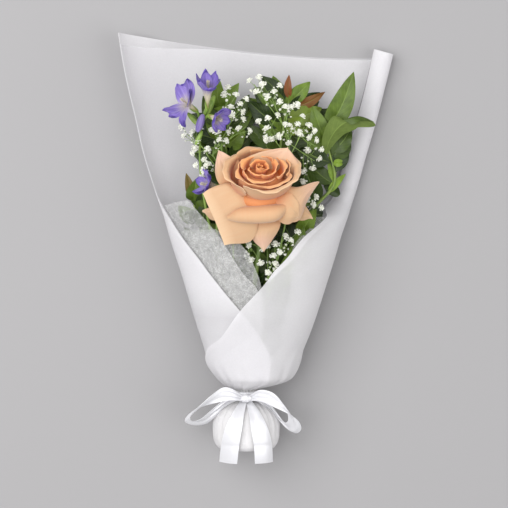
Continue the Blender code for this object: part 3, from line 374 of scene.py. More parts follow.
# Young leaves at the shoots' tips are red-brown, others yellow-green: stem, number of the leaf, and
# how light and how red it is
LEAF_TINTS = {
    ("centre_leafy_stem", 0): (0.5, 1.0),
    ("centre_leafy_stem", 4): (0.3, 0.8),
    ("centre_leafy_stem", 5): (0.75, 0.1),
    ("centre_leafy_stem", 6): (0.9, 0.1),
    ("right_leafy_stem", 0): (0.42, 0.0),
    ("right_leafy_stem", 1): (0.7, 0.0),
    ("right_leafy_stem", 2): (0.15, 0.0),
    ("right_leafy_stem", 3): (0.9, 0.0),
    ("right_leafy_stem", 8): (0.9, 0.0),
    ("right_leafy_stem", 10): (0.9, 0.0),
    ("left_leafy_stem", 2): (0.75, 0.0),
    ("low_leafy_stem", 0): (0.35, 0.5),
}

# Gypsophila: about how long its branches are, then each spray's name, route, clusters as a middle with
# the places of the florets, and seed
GYPS_BRANCH_LENGTH = 34.0
GYPSOPHILA = (
    ("left_gypsophila",
     ((-2.65, -44, 35.6), (-2.65, 20, 35.6), (-8, 60, 43), (-12, 110, 52), (-13, 170, 54),
      (-13, 205, 54), (-25, 230, 55), (-33, 244, 56)),
     (((-57, 264, 55), ((-61, 263, 58), (-53, 266, 57), (-48, 270, 56), (-63, 271, 54), (-51, 252, 57))),
      ((-44, 253, 57), ((-47, 257, 59), (-38, 250, 60), (-52, 246, 56))),
      ((-24, 262, 56), ((-33, 268, 60), (-28, 266, 61), (-26, 259, 60), (-20, 258, 59), (-18, 266, 57))),
      ((-43, 238, 56), ((-41, 239, 60), (-38, 234, 60), (-41, 229, 61), (-43, 224, 60), (-49, 234, 57))),
      ((-10, 290, 56), ((-15, 291, 60), (-6, 294, 60), (0, 299, 59), (-4, 286, 58), (-14, 284, 60))),
      ((-15, 305, 56), ((-10, 303, 59), (-18, 310, 57), (-21, 303, 57))),
      ((0, 272, 56), ((-3, 279, 58), (3, 268, 57), (-7, 270, 58))),
      ((6, 148, 57), ((14, 138, 61), (16, 151, 60), (2, 155, 58), (5, 141, 59)))),
     7),
    ("right_gypsophila",
     ((4.5, -44, 34.6), (4.5, 20, 34.6), (11, 60, 43), (24, 110, 53), (36, 160, 54), (44, 210, 55),
      (42, 250, 56), (36, 275, 57)),
     (((24, 305, 57), ((28, 306, 60), (22, 301, 61), (33, 312, 58), (17, 313, 58))),
      ((8, 314, 57), ((11, 306, 60), (4, 317, 57), (13, 320, 56))),
      ((22, 268, 58), ((22, 280, 61), (13, 277, 60), (21, 270, 61), (21, 260, 62), (25, 261, 61),
                       (31, 283, 60))),
      ((40, 290, 57), ((39, 291, 61), (45, 291, 60), (50, 293, 59), (34, 296, 58))),
      ((42, 268, 58), ((39, 274, 62), (43, 273, 61), (51, 274, 60), (34, 263, 61), (42, 257, 62))),
      ((58, 272, 57), ((56, 282, 60), (62, 273, 60), (67, 268, 60), (54, 266, 59))),
      ((64, 254, 57), ((62, 262, 60), (69, 259, 59), (74, 250, 59), (61, 250, 58))),
      ((68, 238, 55), ((72, 241, 58), (57, 229, 60), (57, 219, 60), (66, 232, 58))),
      ((66, 200, 56), ((63, 209, 60), (69, 202, 59), (66, 195, 59), (74, 192, 58), (61, 199, 58))),
      ((36, 155, 56), ((29, 155, 60), (39, 163, 60), (44, 159, 60), (51, 167, 59), (34, 148, 59))),
      ((24, 134, 60), ((21, 153, 60), (29, 135, 61), (22, 127, 61), (27, 143, 60)))),
     11),
)
# One floret as it is modelled: its petals, each turned this far from the last, its heart's radius and
# its diameter
FLORET_PETALS = 13
FLORET_TURN = 137.5
FLORET_HEART = 1.7
FLORET_DIAMETER = 6.4
# Each head is turned this far from the last about its own stalk
HEAD_TURN = 77.0

# Low foliage that fills the bunch: stem, branch, first and last share of its length, number of leaves,
# their length and width, and how far their tips rise
FILLER_LEAVES = (
    ("right_leafy_stem", 0, 0.42, 0.97, 14, 38.0, 18.0, -6.0),
    ("right_leafy_stem", 0, 0.5, 0.72, 6, 40.0, 19.0, 26.0),
    ("centre_leafy_stem", 0, 0.36, 0.98, 22, 42.0, 20.0, 2.0),
    ("centre_leafy_stem", 1, 0.05, 1.0, 20, 44.0, 21.0, -1.0),
    ("centre_leafy_stem", 0, 0.32, 0.5, 6, 40.0, 17.0, 30.0),
    ("left_leafy_stem", 0, 0.4, 0.95, 17, 38.0, 18.0, 1.0),
    ("left_leafy_stem", 1, 0.1, 1.0, 14, 40.0, 19.0, -1.0),
    ("left_leafy_stem", 0, 0.34, 0.52, 5, 38.0, 16.0, 30.0),
    ("low_leafy_stem", 0, 0.45, 0.92, 7, 34.0, 16.0, 8.0),
)
# Their tips stay above this height, this far inside the wrap and clear of a roll of this radius
FILLER_LOWEST = 7.0
FILLER_MARGIN = 13.0
FILLER_ROLL_RADIUS = 12.0
# Past this y the cone is open above, and leaves may rise this high
FILLER_OPEN_Y = 205.0
FILLER_OPEN_TOP = 60.0
FILLER_SPAN_X = (-62.0, 112.0)
FILLER_TOP = 322.0
# How high a leaf arches between its base and its tip
LEAF_ARCH = 3.0
# The large leaf that folds over at the right: its midline and width
FOLDED_LEAF = ((78, 240, 42), (84, 260, 50), (95, 274, 56), (111, 280, 57), (129, 273, 45))
FOLDED_LEAF_WIDTH = 24.0

# Camera: above the flowers, leaning back by the photograph's small angle
CAMERA_PLACE = (-2.5, 194.2, 2077.45)
CAMERA_LEAN = -5.55
CAMERA_LENS = 144.35
CAMERA_SENSOR = 36.0

# Stage, in metres and watts. A large soft light from the photograph's upper left and a weak one from
# the right, each with its place, size and share of the key light's power
FLOOR_SIZE = 6.0
FLOOR_LEVEL = -0.0005
LIGHTS = {
    "key": ((-1.05, 0.5, 1.9), 2.3, 1.0),
    "fill": ((1.5, -0.3, 1.6), 2.0, 0.36),
}
ROOM_STRENGTH = 0.68


def linear(code):
    """The linear colour of an sRGB hex code such as #C3C1C2."""
    channels = [int(code[k:k + 2], 16) / 255 for k in (1, 3, 5)]
    return tuple(c / 12.92 if c <= 0.04045 else ((c + 0.055) / 1.055) ** 2.4 for c in channels)


def per_metre(size):
    """The scale of a pattern on Object coordinates whose marks are size millimetres wide."""
    return 1 / (size * MM)


# Settings that a user would change


class PaperSettings(bpy.types.PropertyGroup):
    """Sizes and colours of the papers."""

    thickness: FloatProperty(
        name="Paper thickness", description="Thickness of the wrapping paper", default=0.35 * MM,
        unit="LENGTH")
    pleat_depth: FloatProperty(
        name="Pleat depth", description="Depth of the gathers at the neck", default=1.1 * MM, unit="LENGTH")
    paper_colour: FloatVectorProperty(
        name="Paper colour", description="Colour of the wrapping paper", subtype="COLOR",
        default=linear("#F1F0F2"), min=0, max=1)
    tissue_colour: FloatVectorProperty(
        name="Tissue colour", description="Colour of the fibre tissue", subtype="COLOR",
        default=linear("#DEDEDD"), min=0, max=1)


class RibbonSettings(bpy.types.PropertyGroup):
    """Size and colour of the ribbon."""

    thickness: FloatProperty(
        name="Ribbon thickness", description="Thickness of the satin", default=0.3 * MM, unit="LENGTH")
    colour: FloatVectorProperty(
        name="Ribbon colour", description="Colour of the satin", subtype="COLOR",
        default=linear("#E8E8EB"), min=0, max=1)


class RoseSettings(bpy.types.PropertyGroup):
    """Thickness and colours of the rose's petals."""

    thickness: FloatProperty(
        name="Petal thickness", description="Thickness of a petal", default=0.45 * MM, unit="LENGTH")
    outer_colour: FloatVectorProperty(
        name="Outer petals", description="Colour of the outer petals", subtype="COLOR",
        default=linear("#D5B28B"), min=0, max=1)
    inner_colour: FloatVectorProperty(
        name="Inner petals", description="Colour of the heart's petals", subtype="COLOR",
        default=linear("#F0A966"), min=0, max=1)
    # The petals' feet: partly their own deeper orange, partly painted shade between the petals
    petal_base_and_shade_colour: FloatVectorProperty(
        name="Petal bases", description="Colour deep between the petals", subtype="COLOR",
        default=linear("#DB6F2C"), min=0, max=1)
    blush_colour: FloatVectorProperty(
        name="Blush", description="Colour at the outer petals' tips", subtype="COLOR",
        default=linear("#E7C3B0"), min=0, max=1)


class FreesiaSettings(bpy.types.PropertyGroup):
    """Thickness and colours of the freesias."""

    thickness: FloatProperty(
        name="Petal thickness", description="Thickness of a petal", default=0.4 * MM, unit="LENGTH")
    petal_colour: FloatVectorProperty(
        name="Petals", description="Colour of the open petals", subtype="COLOR",
        default=linear("#A08BD8"), min=0, max=1)
    tip_colour: FloatVectorProperty(
        name="Petal tips", description="Dark colour at the tips", subtype="COLOR",
        default=linear("#4A2EA0"), min=0, max=1)
    throat_colour: FloatVectorProperty(
        name="Throat", description="Colour of the tube", subtype="COLOR",
        default=linear("#E9E2C4"), min=0, max=1)


class LeafSettings(bpy.types.PropertyGroup):
    """Thickness and colours of the leaves."""

    thickness: FloatProperty(
        name="Leaf thickness", description="Thickness of a leaf", default=0.4 * MM, unit="LENGTH")
    # The tone between these two also carries painted light and shade by each leaf's height in the bunch
    dark_colour: FloatVectorProperty(
        name="Old leaves", description="Colour of the oldest leaves", subtype="COLOR",
        default=linear("#1D2F0B"), min=0, max=1)
    light_colour: FloatVectorProperty(
        name="Young leaves", description="Colour of the youngest leaves", subtype="COLOR",
        default=linear("#7F9C34"), min=0, max=1)
    red_colour: FloatVectorProperty(
        name="Shoot tips", description="Colour of the unfolding leaves", subtype="COLOR",
        default=linear("#7A4522"), min=0, max=1)


class GypsophilaSettings(bpy.types.PropertyGroup):
    """Size and colours of the gypsophila."""

    floret_size: FloatProperty(
        name="Floret diameter", description="Diameter of an open floret", default=7.8 * MM, unit="LENGTH")
    petal_colour: FloatVectorProperty(
        name="Florets", description="Colour of the florets", subtype="COLOR",
        default=linear("#FDFDFA"), min=0, max=1)
    stem_colour: FloatVectorProperty(
        name="Stems", description="Colour of the wiry stems", subtype="COLOR",
        default=linear("#56702F"), min=0, max=1)


class StageSettings(bpy.types.PropertyGroup):
    """Floor and light."""

    floor_colour: FloatVectorProperty(
        name="Floor", description="Colour of the plain floor", subtype="COLOR",
        default=linear("#959495"), min=0, max=1)
    key_power: FloatProperty(
        name="Key light", description="Power of the large soft light", default=67.0, min=0.0, unit="POWER")


# Curves, sheets and tubes


def smooth_step(x):
    x = np.clip(x, 0.0, 1.0)
    return x * x * (3 - 2 * x)


def eased(table, x):
    """The columns of a table of stations at each x, on smooth curves that never overshoot a row."""
    rows = np.array(table, dtype=float)
    at, values = rows[:, 0], rows[:, 1:]
    step = np.diff(at)[:, None]
    rise = np.diff(values, axis=0) / step
    slope = np.zeros_like(values)
    turning = rise[:-1] * rise[1:] <= 0
    total = np.where(turning, 1.0, rise[:-1] + rise[1:])
    slope[1:-1] = np.where(turning, 0.0, 2 * rise[:-1] * rise[1:] / total)
    slope[0], slope[-1] = rise[0], rise[-1]
    x = np.clip(np.atleast_1d(x), at[0], at[-1])
    k = np.clip(np.searchsorted(at, x) - 1, 0, len(step) - 1)
    t = ((x - at[k]) / step[k, 0])[:, None]
    return (
        (2 * t**3 - 3 * t**2 + 1) * values[k]
        + (t**3 - 2 * t**2 + t) * step[k] * slope[k]
        + (3 * t**2 - 2 * t**3) * values[k + 1]
        + (t**3 - t**2) * step[k] * slope[k + 1]
    )


def on_route(points, share):
    """Places on a smooth curve through the points, at each share of it from 0 to 1."""
    knots = np.array(points, dtype=float)
    knots = np.vstack([2 * knots[0] - knots[1], knots, 2 * knots[-1] - knots[-2]])
    t = np.clip(np.atleast_1d(share), 0.0, 1.0) * (len(points) - 1)
    k = np.minimum(t.astype(int), len(points) - 2)
    t = (t - k)[:, None]
    a, b, c, d = (knots[k + n] for n in range(4))
    return 0.5 * (2 * b + (c - a) * t + (2 * a - 5 * b + 4 * c - d) * t**2 + (3 * b - a - 3 * c + d) * t**3)


def stepped(points, count):
    """The curve through the points as count places from its start to its end."""
    return on_route(points, np.linspace(0, 1, count))


def unit(vectors):
    vectors = np.asarray(vectors, dtype=float)
    return vectors / np.maximum(np.linalg.norm(vectors, axis=-1, keepdims=True), 1e-9)


def turned_about(vectors, axis, degrees):
    """Each vector turned about its axis, a unit vector."""
    angle = np.radians(np.atleast_1d(degrees))[:, None]
    along = (vectors * axis).sum(-1, keepdims=True) * axis
    return vectors * np.cos(angle) + np.cross(axis, vectors) * np.sin(angle) + along * (1 - np.cos(angle))


def ripple(points, size, seed):
    """A smooth uneven field over the points, about -1 to 1, with waves about size long."""
    draw = np.random.default_rng(seed)
    field = np.zeros(len(points))
    for _ in range(6):
        direction = unit(draw.normal(size=points.shape[1]))
        turns = points @ direction / (size * draw.uniform(0.7, 1.6))
        field += np.sin(turns * math.tau + draw.uniform(0, math.tau))
    return field / 3


def set_down(points):
    """Points in millimetres from the tie, in Blender's metres."""
    return (np.asarray(points, dtype=float) + TIE) * MM


def pick(pieces):
    """Selects these pieces alone, the first one active."""
    bpy.ops.object.select_all(action="DESELECT")
    for piece in pieces:
        piece.select_set(True)
    bpy.context.view_layer.objects.active = pieces[0]


def added(add, name, **settings):
    """A new piece from one of Blender's add tools, with nothing else selected."""
    bpy.ops.object.select_all(action="DESELECT")
    add(**settings)
    made = bpy.context.object
    made.name = made.data.name = name
    return made


def corners_of(piece):
    """The piece's corners as rows of x, y and z."""
    corners = np.empty(len(piece.data.vertices) * 3)
    piece.data.vertices.foreach_get("co", corners)
    return corners.reshape(-1, 3)


def reshaped(piece, corners):
    """The piece with its corners moved, in Blender's metres."""
    piece.data.vertices.foreach_set("co", corners.ravel())
    piece.data.update()
    return piece


def merged(piece, gap):
    """The piece with its corners joined where they are closer than gap."""
    pick([piece])
    bpy.ops.object.mode_set(mode="EDIT")
    bpy.ops.mesh.select_all(action="SELECT")
    bpy.ops.mesh.remove_doubles(threshold=gap)
    bpy.ops.object.mode_set(mode="OBJECT")
    return piece


def sheet(name, columns, rows, place):
    """A grid laid by place(across, along), both 0 to 1, in millimetres from the tie."""
    made = added(bpy.ops.mesh.primitive_grid_add, name, x_subdivisions=columns, y_subdivisions=rows, size=1.0)
    across, along = corners_of(made)[:, :2].T + 0.5
    return reshaped(made, set_down(place(across, along)))


def shaded(piece, along=0.0, tone=0.0, blush=0.0):
    """Stores what the materials read on each point: the share along it, its tone and its blush."""
    values = np.zeros((len(piece.data.vertices), 3))
    values[:, 0], values[:, 1], values[:, 2] = along, tone, blush
    layer = piece.data.attributes.new("shade", "FLOAT_VECTOR", "POINT")
    layer.data.foreach_set("vector", values.ravel())
    return piece


def grid_shares(columns, rows):
    """The shares across and along of a sheet's points, in their order."""
    across = np.tile(np.linspace(0, 1, columns + 1), rows + 1)
    along = np.repeat(np.linspace(0, 1, rows + 1), columns + 1)
    return across, along


def tubes(name, runs, sides=2):
    """One mesh of round stems with capped ends. Each run is its points and its radii."""
    made = added(bpy.ops.curve.primitive_nurbs_path_add, name)
    curve = made.data
    curve.splines.clear()
    curve.bevel_depth = MM
    curve.bevel_resolution = sides
    curve.use_fill_caps = True
    for points, radii in runs:
        line = curve.splines.new("POLY")
        line.points.add(len(points) - 1)
        radii = np.broadcast_to(radii, len(points))
        for spot, point, radius in zip(line.points, set_down(points), radii):
            spot.co = (*point, 1.0)
            spot.radius = radius
    bpy.ops.object.convert(target="MESH")
    made = merged(bpy.context.object, 0.01 * MM)
    bpy.ops.object.mode_set(mode="EDIT")
    bpy.ops.mesh.normals_make_consistent(inside=False)
    bpy.ops.object.mode_set(mode="OBJECT")
    return made


def rounded(name, middle, half_size, directions=((1, 0, 0), (0, 1, 0), (0, 0, 1)), segments=24, rings=14):
    """A rounded body with its three half sizes along the directions."""
    made = added(bpy.ops.mesh.primitive_uv_sphere_add, name, segments=segments, ring_count=rings, radius=1.0)
    spread = (corners_of(made) * half_size) @ np.array(directions, dtype=float)
    return reshaped(made, set_down(spread + middle))


def joined(name, parts):
    pick(parts)
    if len(parts) > 1:
        bpy.ops.object.join()
    made = bpy.context.object
    made.name = made.data.name = name
    return made


def thickened(piece, thickness, back_slot=0):
    """The open sheet as a closed one. back_slot counts from the front's material to the back's."""
    pick([piece])
    wall = piece.modifiers.new("thickness", "SOLIDIFY")
    wall.thickness = thickness
    wall.offset = 0.0
    wall.material_offset = back_slot
    bpy.ops.object.modifier_apply(modifier=wall.name)
    return piece


def dressed(piece, *materials):
    piece.data.materials.clear()
    for finish in materials:
        piece.data.materials.append(finish)
    return piece


def handed_over(piece, slot, *nodes, angle=50):
    """Shades the piece smooth and ties it to the frame."""
    pick([piece])
    bpy.ops.object.shade_smooth_by_angle(angle=math.radians(angle))
    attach(piece, BODY)
    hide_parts(*nodes)
    return piece


# Materials


def add_node(tree, kind, inputs=None, **settings):
    """Adds a node with its settings. Each input is a value, or the socket that feeds it."""
    node = tree.nodes.new(kind)
    for key, value in settings.items():
        setattr(node, key, value)
    for key, value in (inputs or {}).items():
        if isinstance(value, bpy.types.NodeSocket):
            tree.links.new(value, node.inputs[key])
        elif isinstance(value, (tuple, list)) and len(value) == 3 and node.inputs[key].type == "RGBA":
            node.inputs[key].default_value = (*value, 1.0)
        else:
            node.inputs[key].default_value = value
    return node


def started(name, colour, roughness, **sockets):
    """A material with its Principled shader set, and the node tree and shader to go on with."""
    made = bpy.data.materials.new(name)
    made.use_nodes = True
    made.diffuse_color = (*colour, 1.0)
    shader = made.node_tree.nodes["Principled BSDF"]
    shader.inputs["Base Color"].default_value = (*colour, 1.0)
    shader.inputs["Roughness"].default_value = roughness
    for key, value in sockets.items():
        shader.inputs[key.replace("_", " ")].default_value = value
    return made, made.node_tree, shader


def marks(tree, size, detail=3.0, stretch=(1.0, 1.0, 1.0)):
    """The socket of cloudy marks, size millimetres wide, that stay put on the piece. A stretch below 1
    draws them out in its direction."""
    place = add_node(tree, "ShaderNodeTexCoord").outputs["Object"]
    place = add_node(tree, "ShaderNodeMapping", {"Vector": place, "Scale": stretch}).outputs[0]
    inputs = {"Vector": place, "Scale": per_metre(size), "Detail": detail}
    return add_node(tree, "ShaderNodeTexNoise", inputs).outputs[0]


def threads(tree, across, along):
    """The socket of fine lines along a piece's UV map: how many lie side by side and end to end."""
    uv = add_node(tree, "ShaderNodeUVMap").outputs[0]
    lines = add_node(tree, "ShaderNodeMapping", {"Vector": uv, "Scale": (across, along, 1.0)}).outputs[0]
    return add_node(tree, "ShaderNodeTexNoise", {"Vector": lines, "Scale": 1.0, "Detail": 3.0}).outputs[0]


def shade_parts(tree):
    """The sockets of what shaded() stored: the share along, the tone and the blush."""
    stored = add_node(tree, "ShaderNodeAttribute", attribute_name="shade").outputs["Vector"]
    return add_node(tree, "ShaderNodeSeparateXYZ", {0: stored}).outputs


def from_midline(tree):
    """The sockets of how far to the side of its midline a petal's or leaf's spot lies, and how far along."""
    uv = add_node(tree, "ShaderNodeSeparateXYZ", {0: add_node(tree, "ShaderNodeUVMap").outputs[0]}).outputs
    side = add_node(tree, "ShaderNodeMath", {0: uv[0], 1: 0.5}, operation="SUBTRACT").outputs[0]
    return add_node(tree, "ShaderNodeMath", {0: side}, operation="ABSOLUTE").outputs[0], uv[1]


def coated(tree, base, *coats):
    """The colour socket of a base under its coats. Each coat is the value that drives it, the value's
    low and high, the coat's share at each of them, and its colour."""
    for value, low, high, least, most, colour in coats:
        inputs = {"Value": value, "From Min": low, "From Max": high, "To Min": least, "To Max": most}
        share = add_node(tree, "ShaderNodeMapRange", inputs).outputs[0]
        base = add_node(tree, "ShaderNodeMix", {0: share, 6: base, 7: colour}, data_type="RGBA").outputs[2]
    return base


def finished(made, shader, face, relief=None, glow=0.0, clear=0.0, invert=False):
    """The material with its face colour, its relief as height, strength and depth in millimetres, and
    the shares of light from behind that it scatters and of light that goes straight through."""
    tree = made.node_tree
    if isinstance(face, bpy.types.NodeSocket):
        tree.links.new(face, shader.inputs["Base Color"])
    if relief:
        height, strength, depth = relief
        inputs = {"Strength": strength, "Distance": depth * MM, "Height": height}
        bump = add_node(tree, "ShaderNodeBump", inputs, invert=invert)
        tree.links.new(bump.outputs[0], shader.inputs["Normal"])
    out = shader
    if glow:
        behind = add_node(tree, "ShaderNodeBsdfTranslucent", {"Color": face})
        out = add_node(tree, "ShaderNodeMixShader", {0: glow, 1: out.outputs[0], 2: behind.outputs[0]})
    if clear:
        through = add_node(tree, "ShaderNodeBsdfTransparent")
        out = add_node(tree, "ShaderNodeMixShader", {0: clear, 1: out.outputs[0], 2: through.outputs[0]})
    tree.links.new(out.outputs[0], tree.nodes["Material Output"].inputs["Surface"])
    return made


def wrapping_paper(name, colour, clear, doubled):
    """Frosted non-woven wrap, pressed from long white fibres: matt with a soft sheen. Dark shapes behind
    one layer show through, and less so where it is doubled. Its fibres are drawn 0.8 mm wide, in clouds
    1.4 mm wide, to show."""
    made, tree, shader = started(name, colour, 0.8, Sheen_Weight=0.1, Specular_IOR_Level=0.25)
    pale = coated(tree, [c * 0.95 for c in colour], (marks(tree, 1.4, 4.0), 0.3, 0.7, 0.0, 1.0, colour))
    inputs = {"Value": shade_parts(tree)[0], "To Min": clear, "To Max": doubled}
    through = add_node(tree, "ShaderNodeMapRange", inputs).outputs[0]
    return finished(made, shader, pale, (marks(tree, 0.8, 2.0), 0.2, 0.2), 0.42, through)


def fibre_tissue(colour):
    """Wet-laid fibre tissue: long pale fibres lie in clouds, thin enough between them to show the
    leaves behind as grey. The clouds are drawn 3.2 mm wide and the fibres 0.8 mm, to show."""
    made, tree, shader = started("wet-laid fibre tissue", colour, 0.85, Sheen_Weight=0.1)
    cloud = marks(tree, 3.2, 5.0, (1.0, 0.8, 1.0))
    fibre = marks(tree, 0.8, 2.0, (0.7, 1.0, 1.0))
    body = add_node(tree, "ShaderNodeMath", {0: cloud, 1: fibre}, operation="ADD").outputs[0]
    shade = coated(tree, [c * 0.88 for c in colour], (body, 0.7, 1.3, 0.0, 1.0, colour))
    inputs = {"Value": body, "From Min": 0.8, "From Max": 1.2, "To Min": 0.85, "To Max": 0.66}
    through = add_node(tree, "ShaderNodeMapRange", inputs).outputs[0]
    return finished(made, shader, shade, (fibre, 0.3, 0.3), 0.3, through)


def satin(colour):
    """Polyester satin: long floats of smooth thread give broad soft streaks of light along the
    ribbon. Its threads are drawn 0.5 mm apart, 36 across it, to show."""
    made, tree, shader = started(
        "polyester satin", colour, 0.3, Sheen_Weight=0.2, Metallic=0.25, Anisotropic=0.5)
    streak = threads(tree, 36.0, 2.0)
    inputs = {"Value": streak, "From Min": 0.3, "From Max": 0.7, "To Min": 0.3, "To Max": 0.45}
    rough = add_node(tree, "ShaderNodeMapRange", inputs).outputs[0]
    tree.links.new(rough, shader.inputs["Roughness"])
    return finished(made, shader, colour, (streak, 0.7, 0.3), 0.22)


def wet_cotton():
    """Wet cotton wool: matted white fibres, darker and glossier where water fills them."""
    made, tree, shader = started("wet cotton wool", linear("#E4E4DE"), 0.6)
    tuft = marks(tree, 4.0, 5.0)
    inputs = {"Value": tuft, "From Min": 0.3, "From Max": 0.7, "To Min": 0.35, "To Max": 0.85}
    rough = add_node(tree, "ShaderNodeMapRange", inputs).outputs[0]
    tree.links.new(rough, shader.inputs["Roughness"])
    face = coated(tree, linear("#C9C9C0"), (tuft, 0.0, 1.0, 0.0, 1.0, linear("#F0F0EC")))
    return finished(made, shader, face, (tuft, 0.6, 1.0))


def rubber():
    """Natural rubber band: tan, a little cloudy, with a dull shine."""
    made, tree, shader = started("natural rubber", linear("#C9A273"), 0.55)
    face = coated(tree, linear("#B98E5C"), (marks(tree, 2.0), 0.0, 1.0, 0.0, 1.0, linear("#D3AF83")))
    return finished(made, shader, face)


def rose_petal_skin(settings):
    """Rose petal: velvety skin with faint veins. It passes light, so depths glow orange, while the
    outer petals are pale peach and their tips blush. Each petal's foot is a deeper orange, partly
    its own colour and partly painted shade between the petals."""
    outer, inner, deep, blush = (tuple(c) for c in (
        settings.outer_colour, settings.inner_colour, settings.petal_base_and_shade_colour, settings.blush_colour))
    made, tree, shader = started("rose petal", outer, 0.55, Sheen_Weight=0.35, Specular_IOR_Level=0.3)
    along, tone, flush = shade_parts(tree)[:3]
    veins = threads(tree, 34.0, 2.2)
    face = coated(
        tree, inner,
        (tone, 0.0, 1.0, 0.0, 1.0, outer),
        # Deeper orange towards each petal's foot: partly its own colour, partly painted shade between the
        # petals
        (along, 0.75, 0.05, 0.0, 1.0, deep),
        (flush, 0.0, 1.0, 0.0, 1.0, blush),
        (along, 0.93, 1.0, 0.0, 0.6, linear("#F3D9B4")),
        (veins, 0.35, 0.75, 0.0, 0.07, deep),
    )
    return finished(made, shader, face, (veins, 0.12, 0.3), 0.3)


def freesia_petal_skin(settings):
    """Freesia petal: thin and silky, violet with darker veins, rims and tips over a cream tube that
    turns yellow-green at its base."""
    petal, tip, throat = (
        tuple(c) for c in (settings.petal_colour, settings.tip_colour, settings.throat_colour))
    made, tree, shader = started("freesia petal", petal, 0.45, Sheen_Weight=0.3)
    along, tone, _ = shade_parts(tree)[:3]
    side, _ = from_midline(tree)
    rim = add_node(tree, "ShaderNodeMath", {0: side, 1: along}, operation="MULTIPLY").outputs[0]
    veins = threads(tree, 16.0, 2.2)
    face = coated(
        tree, linear("#B9B555"),
        (along, 0.06, 0.3, 0.0, 1.0, throat),
        (along, 0.36, 0.66, 0.0, 1.0, linear("#AD9BDE")),
        (along, 0.52, 0.8, 0.0, 1.0, petal),
        (rim, 0.26, 0.44, 0.0, 0.8, tip),
        (along, 0.86, 1.0, 0.0, 0.85, tip),
        (tone, 0.0, 1.0, 0.0, 0.35, tip),
        (veins, 0.42, 0.7, 0.0, 0.5, tip),
    )
    return finished(made, shader, face, (veins, 0.25, 0.3), 0.42)


def leaf_veins(tree):
    """The socket of a leaf's veins, 1 on the midrib and the side veins and 0 between them."""
    side, along = from_midline(tree)
    inputs = {"Value": side, "From Min": 0.035, "From Max": 0.015}
    rib = add_node(tree, "ShaderNodeMapRange", inputs).outputs[0]
    # Side veins leave the midrib at a slant, about nine pairs on a leaf
    lean = {0: side, 1: -0.55, 2: along}
    part = add_node(tree, "ShaderNodeMath", lean, operation="MULTIPLY_ADD").outputs[0]
    for operation, amount in (("MULTIPLY", 9.0), ("FRACT", 0.5), ("SUBTRACT", 0.5), ("ABSOLUTE", 0.5)):
        part = add_node(tree, "ShaderNodeMath", {0: part, 1: amount}, operation=operation).outputs[0]
    inputs = {"Value": part, "From Min": 0.07, "From Max": 0.0, "To Max": 0.6}
    branch = add_node(tree, "ShaderNodeMapRange", inputs).outputs[0]
    return add_node(tree, "ShaderNodeMath", {0: rib, 1: branch}, operation="MAXIMUM").outputs[0]


def leaf_face(settings, name, under):
    """Evergreen leaf. The upper face has a waxy gloss, pale veins and a tone from dark to young green,
    which also carries painted light and shade: lighter high in the bunch, darker low in it; the
    underside is paler, matt and olive with raised veins."""
    dark, light, red = (tuple(c) for c in (settings.dark_colour, settings.light_colour, settings.red_colour))
    if under:
        dark, light = linear("#55692E"), linear("#8A9A52")
    made, tree, shader = started(name, dark, 0.6 if under else 0.4, Specular_IOR_Level=0.2 if under else 0.3)
    _, tone, flush = shade_parts(tree)[:3]
    veins = leaf_veins(tree)
    face = coated(
        tree, dark,
        (tone, 0.0, 1.0, 0.0, 1.0, light),
        (marks(tree, 7.0), 0.35, 0.7, 0.0, 0.4, [c * 0.6 for c in dark]),
        (flush, 0.0, 1.0, 0.0, 1.0, red),
        (veins, 0.0, 1.0, 0.0, 0.28, linear("#93AB55")),
    )
    return finished(made, shader, face, (veins, 0.35, 0.4), 0.16, invert=not under)


def green_stem(name, low, high, roughness=0.45):
    """Fresh stem: smooth waxy green with long pale streaks, 2 mm wide."""
    made, tree, shader = started(name, low, roughness)
    streak = marks(tree, 2.0, stretch=(1.0, 0.12, 1.0))
    return finished(made, shader, coated(tree, low, (streak, 0.3, 0.7, 0.0, 1.0, high)), (streak, 0.2, 0.3))


def floret_white(settings):
    """Gypsophila petal: paper-thin and chalk white, so each tuft stays bright on its shaded side."""
    colour = tuple(settings.petal_colour)
    made, tree, shader = started("gypsophila petal", colour, 0.8, Sheen_Weight=0.2)
    face = coated(tree, linear("#EDEFE0"), (marks(tree, 1.2), 0.3, 0.7, 0.0, 1.0, colour))
    return finished(made, shader, face, glow=0.35)


# Papers


